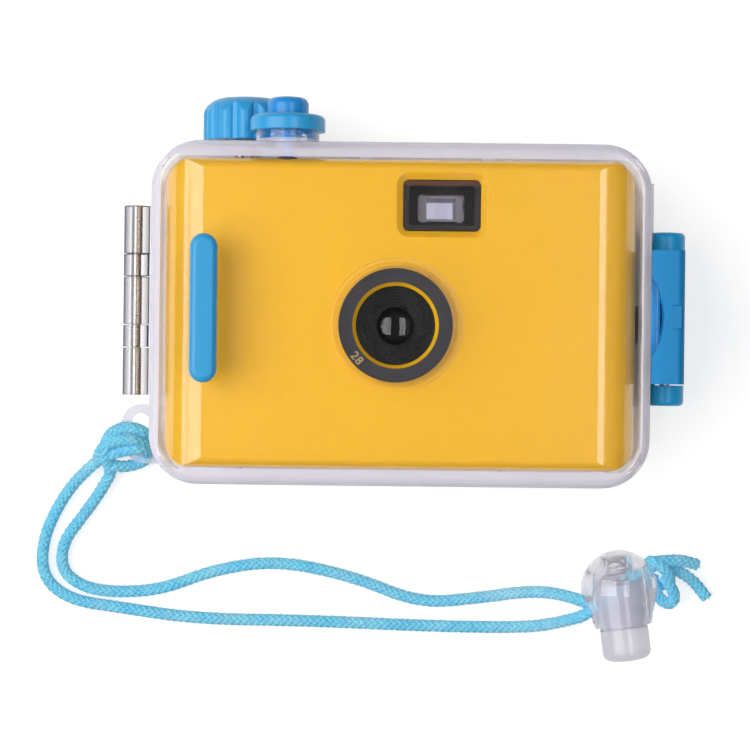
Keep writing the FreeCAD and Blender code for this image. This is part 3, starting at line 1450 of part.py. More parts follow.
outer_strand = [
    (-70.4, -34.3, 3.2), (-74.9, -38.0, 1.9), (-79.7, -44.9, 1.6), (-83.2, -53.2, 1.6),
    (-83.2, -61.6, 1.6), (-77.0, -67.0, 1.6), (-65.0, -68.7, 1.6), (-47.0, -71.2, 1.6),
    (-20.0, -71.3, 1.6), (8.0, -72.3, 1.6), (31.0, -72.4, 1.6), (38.6, -70.8, 4.0),
    (43.6, -68.9, 7.9),
]
inner_strand = [
    (-67.2, -37.1, 2.8), (-69.9, -41.9, 1.7), (-74.0, -47.5, 1.6), (-78.4, -53.4, 1.6),
    (-78.8, -60.0, 1.6), (-73.8, -64.0, 1.6), (-66.0, -65.2, 1.6), (-55.0, -64.4, 1.6),
    (-43.0, -59.6, 1.6),
    (-28.0, -57.2, 1.6), (-10.0, -60.8, 1.6), (5.6, -67.0, 1.6), (20.0, -65.4, 1.9),
    (30.6, -63.6, 4.2), (37.6, -63.6, 7.6), (42.6, -65.0, 8.9),
]
short_tail = [(64.2, -55.7, 7.0), (67.4, -55.9, 6.0), (70.5, -56.9, 4.4)]
long_tail = [(65.6, -58.2, 3.6), (68.8, -60.0, 2.4), (71.2, -62.2, 1.7), (73.2, -65.0, 1.6)]


def tube_along(node, points):
    radius = s.cord_diameter.number / 2
    points = [Vector(*point) for point in points]
    edges = []
    here = points[0]
    length = 0.0
    bends = []
    for before, corner, after in zip(points, points[1:], points[2:]):
        arriving = (corner - before)
        leaving = (after - corner)
        shorter = min(arriving.Length, leaving.Length)
        turn = arriving.getAngle(leaving)
        cut_back = 0.45 * shorter
        bend_radius = cut_back / math.tan(turn / 2)
        bends.append(bend_radius)
        arriving.normalize()
        leaving.normalize()
        start = corner - arriving * cut_back
        end = corner + leaving * cut_back
        inward = (leaving - arriving).normalize()
        depth = bend_radius / math.cos(turn / 2) - bend_radius
        edges.append(Part.LineSegment(here, start).toShape())
        edges.append(Part.Arc(start, corner + inward * depth, end).toShape())
        length += (start - here).Length + bend_radius * turn
        here = end
    edges.append(Part.LineSegment(here, points[-1]).toShape())
    length += (points[-1] - here).Length
    path = Part.Wire(edges)
    section = Part.Wire(Part.makeCircle(radius, points[0], points[1] - points[0]))
    solid = path.makePipeShell([section], True, False)
    expected = math.pi * radius ** 2 * length
    if abs(solid.Volume / expected - 1) > 0.01:
        raise RuntimeError(f"{node}: volume {solid.Volume:.1f} is not {expected:.1f}")
    print(f"{node}: length {length:.1f} mm, bend radii " + ", ".join(f"{bend:.1f}" for bend in bends))
    tube = doc.addObject("Part::Feature", node + "_tube")
    tube.Shape = solid
    tube.Placement = FreeCAD.Placement()
    return finish_node(node, tube)


def make_strap_knot():
    """The hitch at the lug: a loop of cord through the lug's hole and the knot beside it."""
    loop_wire = s.cord_diameter * 0.9
    reach = s.lug_radius + s.side_gap + loop_wire / 2
    lean = math.radians(20)
    lug_middle = s.lug_bottom + s.lug_thickness / 2
    loop = doc.addObject("Part::Torus", "hitch_loop")
    bind(loop, Radius1=reach / 2, Radius2=loop_wire / 2)
    across_loop = Rotation(Vector(0, 0, 1), 20)
    loop.Placement = FreeCAD.Placement(Vector(), across_loop.multiply(Rotation(Vector(1, 0, 0), 90)))
    loop_x = lug_x - reach / 2 * math.cos(lean)
    loop_y = s.lug_hole_y - reach / 2 * math.sin(lean)
    put(loop, loop_x, loop_y, lug_middle)
    middle = ball("hitch_middle", 4.4, lug_x - 6.4, s.lug_hole_y - 7.0, 4.7)
    upper = ball("hitch_upper", 3.7, lug_x - 3.4, s.lug_hole_y - 3.9, 5.0)
    lower = ball("hitch_lower", 3.3, lug_x - 9.0, s.lug_hole_y - 9.8, 3.5)
    lug_room = box(
        "hitch_lug_room",
        (lug_x - s.lug_radius - s.side_gap, lug_x + 10),
        (s.lug_hole_y - 12, s.lug_hole_y + 8),
        (s.lug_bottom - s.side_gap, s.lug_bottom + s.lug_thickness + s.side_gap)
    )
    knot = carve("hitch_balls", join("hitch_balls_solid", middle, upper, lower), lug_room)
    finish_node("strap_knot", join("hitch_solid", knot, loop))


def make_end_knot():
    upper = ball("end_knot_upper", 3.9, s.lock_x + 10.4, s.lock_y + 5.2, 5.6)
    lower = ball("end_knot_lower", 4.2, s.lock_x + 11.6, s.lock_y - 0.4, 4.9)
    near = s.lock_radius + s.side_gap
    lock_room = ball("end_knot_lock_room", near, s.lock_x, s.lock_y, s.lock_radius)
    finish_node("end_knot", carve("end_knot_cut", join("end_knot_solid", upper, lower), lock_room))


def place_on_lock(solid):
    turn = Rotation(Vector(0, 0, 1), s.lock_turn.number)
    at = Vector(s.lock_x.number, s.lock_y.number, s.lock_radius.number)
    solid.Placement = FreeCAD.Placement(at, turn).multiply(solid.Placement)


def make_cord_lock():
    """A ball with a sprung plunger, built with its press axis on Y and then laid in place."""
    axis = (0, 0)
    sphere = ball("lock_ball", s.lock_radius, 0, 0, 0)
    skirt_top = -s.lock_radius * 0.25
    skirt = tapered_rod(
        "lock_skirt", "y", (s.lock_plunger_radius + s.side_gap + 0.7, s.lock_radius * 0.95),
        (-s.lock_foot, skirt_top), axis
    )
    shell = join("lock_shell", sphere, skirt)
    bore_radius = s.lock_plunger_radius + s.side_gap
    bore = rod("lock_bore", "y", bore_radius, (-s.lock_foot - 1, s.lock_bore_depth), axis)
    spring_room = rod(
        "lock_spring_room", "y", s.lock_spring_radius + s.side_gap,
        (s.lock_bore_depth - 0.5, s.lock_bore_depth + s.lock_spring_pocket), axis
    )
    half_height_of_hole = s.lock_hole_height / 2
    hole_y = (s.lock_hole_y - half_height_of_hole, s.lock_hole_y + half_height_of_hole)
    hole_z = (-s.lock_hole_width / 2, s.lock_hole_width / 2)
    hole = box("lock_cord_hole", (-12, 12), hole_y, hole_z)
    body = carve("lock_body_cut", shell, bore, spring_room, hole)

    top = s.lock_plunger_top
    stem = rod("lock_plunger_rod", "y", s.lock_plunger_radius, (top - s.lock_plunger_length, top), axis)
    rounded = soften(
        "lock_plunger_round", stem, s.lock_plunger_radius * 0.35,
        lambda edge: lies_at(edge, "y", (top - s.lock_plunger_length).number)
    )
    slot = box("lock_plunger_slot", (-7, 7), (hole_y[0] - s.lock_travel, hole_y[1]), hole_z)
    cup = rod(
        "lock_plunger_cup", "y", s.lock_spring_radius + s.side_gap, (top - 1.2, top + 1), axis
    )
    plunger = carve("lock_plunger_cut", rounded, slot, cup)
    doc.recompute()
    for node, solid in (("cord_lock_body", body), ("cord_lock_plunger", plunger)):
        place_on_lock(solid)
        finish_node(node, solid)
    wire_radius = 0.25
    low = top.number - 1.2
    high = s.lock_bore_depth.number + s.lock_spring_pocket.number
    placement = FreeCAD.Placement(Vector(0, low, 0), turns_to_axis["y"])
    radius = s.lock_spring_radius.number - wire_radius
    place_on_lock(coil("cord_lock_spring", radius, wire_radius, 4, placement, high - low))


# Building

make_case_back()
make_case_gasket()
make_hinge_pin()
make_case_front()
make_port_window()
make_finger_grip()
make_latch_bracket()
make_latch_lever()
make_winder()
make_shutter_collar()
make_plunger()
make_plunger_spring()
make_front_cover()
make_rear_cover()
make_back_door()
make_pressure_plate()
make_chassis()
make_cover_screws()
make_lens_group()
make_shutter_blade()
make_shutter_release()
make_viewfinder()
make_wind_wheel()
make_sprocket()
make_counter()
make_rewind()
make_strap_knot()
make_cord_lock()
make_end_knot()
tube_along("strap_cord_outer", outer_strand)
tube_along("strap_cord_inner", inner_strand)
tube_along("strap_tail_short", short_tail)
tube_along("strap_tail_long", long_tail)
doc.recompute()

# Checking

for thing in doc.Objects:
    if "Invalid" in thing.State or "Error" in thing.State:
        raise RuntimeError(f"{thing.Name} failed: {thing.State}")
for node, solid in nodes.items():
    if solid.Label != node:
        raise RuntimeError(f"{node} is labelled {solid.Label}")
    if solid.Shape.isNull() or not solid.Shape.isValid():
        raise RuntimeError(f"{node} has no valid shape")

# Writing

os.makedirs("parts", exist_ok=True)
for node, solid in nodes.items():
    solid.Shape.exportStep(f"parts/{node}.step")
    count = len(solid.Shape.Solids)
    bounds = solid.Shape.BoundBox
    print(
        f"{node}: {count} solid, {solid.Shape.Volume:.0f} mm3, "
        f"x {bounds.XMin:.1f} {bounds.XMax:.1f}, y {bounds.YMin:.1f} {bounds.YMax:.1f}, "
        f"z {bounds.ZMin:.1f} {bounds.ZMax:.1f}"
    )
print(f"{len(nodes)} nodes")
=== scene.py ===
import math
import bpy
import bmesh
from mathutils import Matrix, Vector
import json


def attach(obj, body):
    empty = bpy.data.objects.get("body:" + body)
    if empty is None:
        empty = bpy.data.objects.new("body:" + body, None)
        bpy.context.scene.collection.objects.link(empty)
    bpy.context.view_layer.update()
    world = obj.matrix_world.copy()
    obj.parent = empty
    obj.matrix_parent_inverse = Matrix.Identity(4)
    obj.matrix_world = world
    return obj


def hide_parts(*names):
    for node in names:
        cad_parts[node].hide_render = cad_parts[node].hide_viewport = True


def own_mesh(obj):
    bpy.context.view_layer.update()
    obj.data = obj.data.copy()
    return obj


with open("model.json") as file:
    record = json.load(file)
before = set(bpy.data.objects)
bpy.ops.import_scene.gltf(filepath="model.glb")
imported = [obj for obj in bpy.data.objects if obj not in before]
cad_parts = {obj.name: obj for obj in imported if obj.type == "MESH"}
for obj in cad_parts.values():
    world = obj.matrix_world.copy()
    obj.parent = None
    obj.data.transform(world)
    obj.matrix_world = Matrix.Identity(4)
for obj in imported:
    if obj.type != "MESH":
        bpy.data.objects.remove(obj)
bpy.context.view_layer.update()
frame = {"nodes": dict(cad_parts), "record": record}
millimetre = 0.001


def addObject(name, data):
    added = bpy.data.objects.new(name, data)
    bpy.context.scene.collection.objects.link(added)
    return added


# Camera, as the photograph was taken: straight down on the lens side

cameraPlace = {
    "position": (-0.00545, -0.01335, 0.540),
    "rollDegrees": 0.65,
    "focalLength": 109.8,
    "sensorWidth": 36.0,
    "nearest": 10 * millimetre,
}


def makeCamera():
    lens = bpy.data.cameras.new("photoCamera")
    lens.lens = cameraPlace["focalLength"]
    lens.sensor_width = cameraPlace["sensorWidth"]
    lens.clip_start = cameraPlace["nearest"]
    camera = addObject("photoCamera", lens)
    camera.location = cameraPlace["position"]
    camera.rotation_euler = (0, 0, math.radians(cameraPlace["rollDegrees"]))
    bpy.context.scene.camera = camera


makeCamera()
print("camera placed")


# Materials: a small wrapper lets shader maths read as plain sums

class Wire:
    def __init__(self, finish, socket):
        self.finish = finish
        self.socket = socket

    def sum(self, operation, first, second):
        return self.finish.add("ShaderNodeMath", {"operation": operation}, {0: first, 1: second})

    def __add__(self, other):
        return self.sum("ADD", self, other)

    def __radd__(self, other):
        return self.sum("ADD", other, self)

    def __sub__(self, other):
        return self.sum("SUBTRACT", self, other)

    def __mul__(self, other):
        return self.sum("MULTIPLY", self, other)

    def __gt__(self, other):
        return self.sum("GREATER_THAN", self, other)

    def __lt__(self, other):
        return self.sum("LESS_THAN", self, other)

    def __abs__(self):
        return self.finish.add("ShaderNodeMath", {"operation": "ABSOLUTE"}, {0: self})


class Finish:
    def __init__(self, name):
        self.material = bpy.data.materials.new(name)
        self.material.use_nodes = True
        self.tree = self.material.node_tree
        self.tree.nodes.clear()

    def add(self, kind, settings=None, sockets=None, output=0):
        node = self.tree.nodes.new(kind)
        for name, value in (settings or {}).items():
            setattr(node, name, value)
        for name, value in (sockets or {}).items():
            if isinstance(value, Wire):
                self.tree.links.new(value.socket, node.inputs[name])
            else:
                node.inputs[name].default_value = value
        return Wire(self, node.outputs[output]) if len(node.outputs) else None

    def place(self, stretch=None):
        spot = self.add("ShaderNodeTexCoord", output="Object")
        if stretch is None:
            return spot
        return self.add("ShaderNodeMapping", None, {"Vector": spot, "Scale": stretch})

    def axes(self, vector):
        outputs = self.add("ShaderNodeSeparateXYZ", None, {"Vector": vector}).socket.node.outputs
        return [Wire(self, outputs[axis]) for axis in "XYZ"]

    def noise(self, size, detail=2.0, stretch=None):
        # size is that of one blotch, in metres
        sockets = {"Vector": self.place(stretch), "Scale": 1 / size, "Detail": detail}
        return self.add("ShaderNodeTexNoise", None, sockets)

    def blend(self, factor, first, second):
        mix = self.tree.nodes.new("ShaderNodeMix")
        mix.data_type = "RGBA"
        for socket, value in ((mix.inputs[0], factor), (mix.inputs[6], first), (mix.inputs[7], second)):
            if isinstance(value, Wire):
                self.tree.links.new(value.socket, socket)
            else:
                socket.default_value = value if isinstance(value, float) else (*value, 1)
        return Wire(self, mix.outputs[2])

    def spread(self, value, low, high):
        # stretches the part of value between low and high to 0..1
        sockets = {"Value": value, "From Min": low, "From Max": high}
        return self.add("ShaderNodeMapRange", None, sockets)

    def bump(self, height, depth, normal=None):
        sockets = {"Height": height, "Distance": depth, "Strength": 1.0}
        if normal is not None:
            sockets["Normal"] = normal
        return self.add("ShaderNodeBump", None, sockets)

    def softEdge(self, radius):
        return self.add("ShaderNodeBevel", {"samples": 4}, {"Radius": radius})

    def shader(self, sockets):
        if not isinstance(sockets["Base Color"], Wire):
            sockets["Base Color"] = (*sockets["Base Color"], 1)
        return self.add("ShaderNodeBsdfPrincipled", None, sockets)

    def mix(self, factor, first, second):
        return self.add("ShaderNodeMixShader", None, {0: factor, 1: first, 2: second})

    def litThrough(self, solid, tint):
        # the lamps' light passes, tinted, to what lies behind
        through = self.add("ShaderNodeBsdfTransparent", None, {"Color": (*tint, 1)})
        return self.mix(self.add("ShaderNodeLightPath", output="Is Shadow Ray"), solid, through)

    def finishWith(self, shader):
        self.add("ShaderNodeOutputMaterial", None, {"Surface": shader})
        return self.material


def shade(colour, amount):
    return tuple(channel * amount for channel in colour)


# moulded plastic: slow mottling, a fine grain in gloss and surface, edges a little rounded
moulded = {
    "mottleSize": 12 * millimetre,
    "smearSize": 4 * millimetre,
    "smearStretch": (1, 0.35, 1),
    "grainGloss": 0.05,
    "index": 1.5,
    "coatRoughness": 0.05,
    "bleedDepth": 1 * millimetre,
}


def mouldedPlastic(name, look):
    finish = Finish(name)
    mottle = finish.noise(moulded["mottleSize"], 3.0)
    colour = finish.blend(mottle, shade(look["colour"], 1.0 + look["mottle"]),
                          shade(look["colour"], 1.0 - look["mottle"]))
    grain = finish.noise(look["grainSize"], 2.0)
    smear = finish.noise(moulded["smearSize"], 4.0, moulded["smearStretch"])
    roughness = look["roughness"] + (smear - 0.5) * look["smear"] + (grain - 0.5) * moulded["grainGloss"]
    sockets = {
        "Base Color": colour,
        "Roughness": roughness,
        "IOR": moulded["index"],
        "Specular IOR Level": look.get("specular", 0.5),
        "Coat Weight": look.get("coat", 0.0),
        "Coat Roughness": moulded["coatRoughness"],
        "Coat IOR": look.get("coatIndex", moulded["index"]),
        "Subsurface Weight": look.get("bleed", 0.0),
        "Subsurface Scale": moulded["bleedDepth"],
        "Normal": finish.bump(grain, look["grainDepth"], finish.softEdge(look["edge"])),
    }
    return finish.finishWith(finish.shader(sockets))


# viewfinder tunnel: black, with a painted brown reflection under its roof and its parts below a set depth
# grey
def tunnelPlastic(name, look):
    finish = Finish(name)
    _, up, depth = finish.axes(finish.place())
    wear = finish.noise(look["wearSize"], 3.0)
    # the brown above a set height is a painted reflection, not the plastic's own colour
    colour = finish.blend(up > look["paintedReflectionAbove"], look["colour"], look["paintedReflectionColour"])
    colour = finish.blend(depth < look["deepBelow"], colour, look["deepColour"])
    colour = finish.blend(wear * look["wear"], colour, look["colour"])
    grain = finish.noise(look["grainSize"], 2.0)
    sockets = {
        "Base Color": colour,
        "Roughness": look["roughness"] + wear * look["wearGloss"],
        "Specular IOR Level": look["specular"],
        "Normal": finish.bump(grain, look["grainDepth"], finish.softEdge(look["edge"])),
    }
    return finish.finishWith(finish.shader(sockets))


# clear plastic: bends light gently and turns milky where it is looked along
clearStock = {
    "hazeSize": 6 * millimetre,
    "hazeShade": 0.985,
    "scuffSize": 1.2 * millimetre,
    "scuffStretch": (1, 0.12, 1),
    "scuffFrom": 0.62,
    "scuffTo": 0.85,
    "coatRoughness": 0.02,
    "cloudRoughness": 0.5,
}


def cloudyZones(finish, zones, along, milk, cloudColour):
    across, up, _ = finish.axes(finish.place())
    level = finish.axes(finish.add("ShaderNodeTexCoord", output="Normal"))[2]
    wide = abs(across)
    high = abs(up)
    # over the hinge pin the clear stock gets painted slate shade along its edges, standing in for
    # refraction
    overPin = (across < zones["pinLeftOf"]) * (up > zones["pinAbove"])
    # the neck under the collar gets a painted reflection of the blue pieces round it
    inNeck = (up > zones["neckAbove"]) * (across > zones["neck"][0]) * (across < zones["neck"][1])
    # the faces between the camera's outline and the outer walls, and the lug, get painted lilac
    # brightening, standing in for light seen through the walls
    pastCamera = finish.add("ShaderNodeMath", {"operation": "MAXIMUM"}, {
        0: wide > zones["rimFrom"][0], 1: high > zones["rimFrom"][1]
    })
    atLug = (across < zones["pinLeftOf"]) * (up < zones["pinAbove"])
    inWalls = pastCamera * (wide < zones["rimTo"][0]) * (high < zones["rimTo"][1])
    atRim = (abs(level) > zones["flatFrom"]) * (inWalls + atLug)
    milk = milk + atRim * zones["rimPaintedLight"] + overPin * along * zones["pinPaintedShade"] + inNeck * zones["neckPaintedReflection"]
    cloudColour = finish.blend(overPin, cloudColour, zones["pinPaintedShadeColour"])
    return milk, finish.blend(inNeck, cloudColour, zones["neckPaintedReflectionColour"])


def clearPlastic(name, look):
    finish = Finish(name)
    haze = finish.noise(clearStock["hazeSize"], 4.0)
    scuffs = finish.noise(clearStock["scuffSize"], 5.0, clearStock["scuffStretch"])
    scuffs = finish.spread(scuffs, clearStock["scuffFrom"], clearStock["scuffTo"])
    clear = finish.shader({
        "Base Color": finish.blend(haze, look["colour"], shade(look["colour"], clearStock["hazeShade"])),
        "Roughness": look["roughness"] + scuffs * look["scuff"],
        "IOR": look["index"],
        "Transmission Weight": 1.0,
        "Coat Weight": 1.0,
        "Coat Roughness": clearStock["coatRoughness"],
        "Coat IOR": look["coatIndex"],
        "Normal": finish.bump(haze, look["ripple"]),
    })
    along = finish.add("ShaderNodeLayerWeight", None, {"Blend": look["milkBlend"]}, "Facing")
    milk = look["milk"] + along * look["edgeMilk"]
    cloudColour = look["milkColour"]
    if "zones" in look:
        milk, cloudColour = cloudyZones(finish, look["zones"], along, milk, cloudColour)
    cloud = finish.shader({"Base Color": cloudColour, "Roughness": clearStock["cloudRoughness"]})
    return finish.finishWith(finish.litThrough(finish.mix(milk, clear, cloud), look["shadowTint"]))


# metal: fine lines across the turning axis, with a few dull patches
metal = {
    "patchSize": 3 * millimetre,
    "patchFrom": 0.35,
    "patchTo": 0.75,
    "patchShade": 0.82,
    "edge": 0.1 * millimetre,
}


def turnedMetal(name, look):
    finish = Finish(name)
    lines = finish.noise(look["lineSize"], 2.0, look["stretch"])
    patches = finish.spread(finish.noise(metal["patchSize"], 4.0), metal["patchFrom"], metal["patchTo"])
    colour = finish.blend(patches, look["colour"], shade(look["colour"], metal["patchShade"]))
    sockets = {
        "Base Color": colour,
        "Metallic": 1.0,
        "Roughness": look["roughness"] + lines * look["lineGloss"],
        "Normal": finish.bump(lines, look["lineDepth"], finish.softEdge(metal["edge"])),
    }
    return finish.finishWith(finish.shader(sockets))


# rubber: dull, with dust in its surface
rubber = {
    "dustSize": 1.8 * millimetre,
    "dustShade": 0.85,
    "dustDepth": 0.03 * millimetre,
    "roughness": 0.55,
    "dustGloss": 0.2,
    "sheen": 0.15,
}


def softRubber(name, look):
    finish = Finish(name)
    dust = finish.noise(rubber["dustSize"], 5.0)
    sockets = {
        "Base Color": finish.blend(dust, look["colour"], shade(look["colour"], rubber["dustShade"])),
        "Roughness": rubber["roughness"] + dust * rubber["dustGloss"],
        "Sheen Weight": rubber["sheen"],
        "Normal": finish.bump(dust, rubber["dustDepth"]),
    }
    return finish.finishWith(finish.shader(sockets))


# coated optical glass: its coating changes the tint towards the edge
glass = {
    "bloomBlend": 0.35,
    "dustSize": 0.8 * millimetre,
    "dustFrom": 0.6,
    "dustTo": 0.9,
    "dustGloss": 0.05,
    "dustDepth": 0.004 * millimetre,
    "coat": 0.4,
    "coatRoughness": 0.02,
}


def coatedGlass(name, look):
    finish = Finish(name)
    bloom = finish.add("ShaderNodeLayerWeight", None, {"Blend": glass["bloomBlend"]}, "Facing")
    dust = finish.noise(glass["dustSize"], 5.0)
    specks = finish.spread(dust, glass["dustFrom"], glass["dustTo"])
    sockets = {
        "Base Color": finish.blend(bloom, look["colour"], look["edgeColour"]),
        "Roughness": look["roughness"] + specks * glass["dustGloss"],
        "IOR": look["index"],
        "Transmission Weight": look["clear"],
        "Coat Weight": glass["coat"],
        "Coat Roughness": glass["coatRoughness"],
        # a glass given a glow gives off painted light, standing in for light coming through the tunnel from
        # behind; it is no lamp
        "Emission Color": (*look.get("paintedBacklightColour", (0, 0, 0)), 1),
        "Emission Strength": look.get("paintedBacklight", 0.0),
        "Normal": finish.bump(dust, glass["dustDepth"]),
    }
    return finish.finishWith(finish.litThrough(finish.shader(sockets), look["colour"]))


# a white disc with plain black strokes round its edge, spaced like a film counter's
def printedDial(name, look):
    finish = Finish(name)
    offset = finish.add("ShaderNodeVectorMath", {"operation": "SUBTRACT"}, {
        0: finish.place(), 1: look["centre"]
    })
    across, _, along = finish.axes(offset)
    radius = finish.add("ShaderNodeMath", {"operation": "SQRT"}, {0: across * across + along * along})
    angle = finish.add("ShaderNodeMath", {"operation": "ARCTAN2"}, {0: along, 1: across})
    turn = angle * (look["strokes"] / (2 * math.pi))
    # whole turns are added, so that the fraction is taken of a positive number
    step = finish.add("ShaderNodeMath", {"operation": "FRACT"}, {0: turn + 100.0})
    inStroke = (step < look["strokeShare"]) * (radius > look["strokeFrom"]) * (radius < look["strokeTo"])
    fleck = finish.noise(look["fleckSize"], 4.0)
    paper = finish.blend(fleck, look["colour"], shade(look["colour"], look["fleckShade"]))
    sockets = {
        "Base Color": finish.blend(inStroke, paper, look["ink"]),
        "Roughness": look["roughness"] + fleck * look["fleckGloss"],
        "Normal": finish.bump(fleck, look["fleckDepth"]),
    }
    return finish.finishWith(finish.shader(sockets))


# braided cord: each yarn has fine fibre lines along it and a slightly different blue
def braidedYarn(name, look):
    finish = Finish(name)
    along = finish.add("ShaderNodeUVMap", {"uv_map": "UVMap"})
    stretched = finish.add("ShaderNodeMapping", None, {"Vector": along, "Scale": look["fibreStretch"]})
    fibres = finish.add("ShaderNodeTexNoise", None, {"Vector": stretched, "Scale": 1.0, "Detail": 2.0})
    patches = finish.spread(finish.noise(look["patchSize"], 3.0), *look["patchSpread"])
    fade = finish.spread(finish.noise(look["fadeSize"], 2.0), *look["fadeSpread"])
    paleFibres = finish.spread(fibres, *look["fibreSpread"])
    colour = finish.blend(patches, look["colour"], look["deep"])
    colour = finish.blend(fade * look["fade"], colour, look["pale"])
    colour = finish.blend(paleFibres * look["fibrePale"], colour, look["pale"])
    sockets = {
        "Base Color": colour,
        "Roughness": look["roughness"] + fibres * look["fibreGloss"],
        "Sheen Weight": look["sheen"],
        "Sheen Roughness": look["sheenRoughness"],
        "Sheen Tint": look["fuzz"],
        # the yarn gives off a little painted light in its own colour, brightening it; it is no lamp
        "Emission Color": colour,
        "Emission Strength": look["paintedGlow"],
        "Specular IOR Level": look["specular"],
        "Normal": finish.bump(fibres, look["fibreDepth"]),
    }
    return finish.finishWith(finish.shader(sockets))


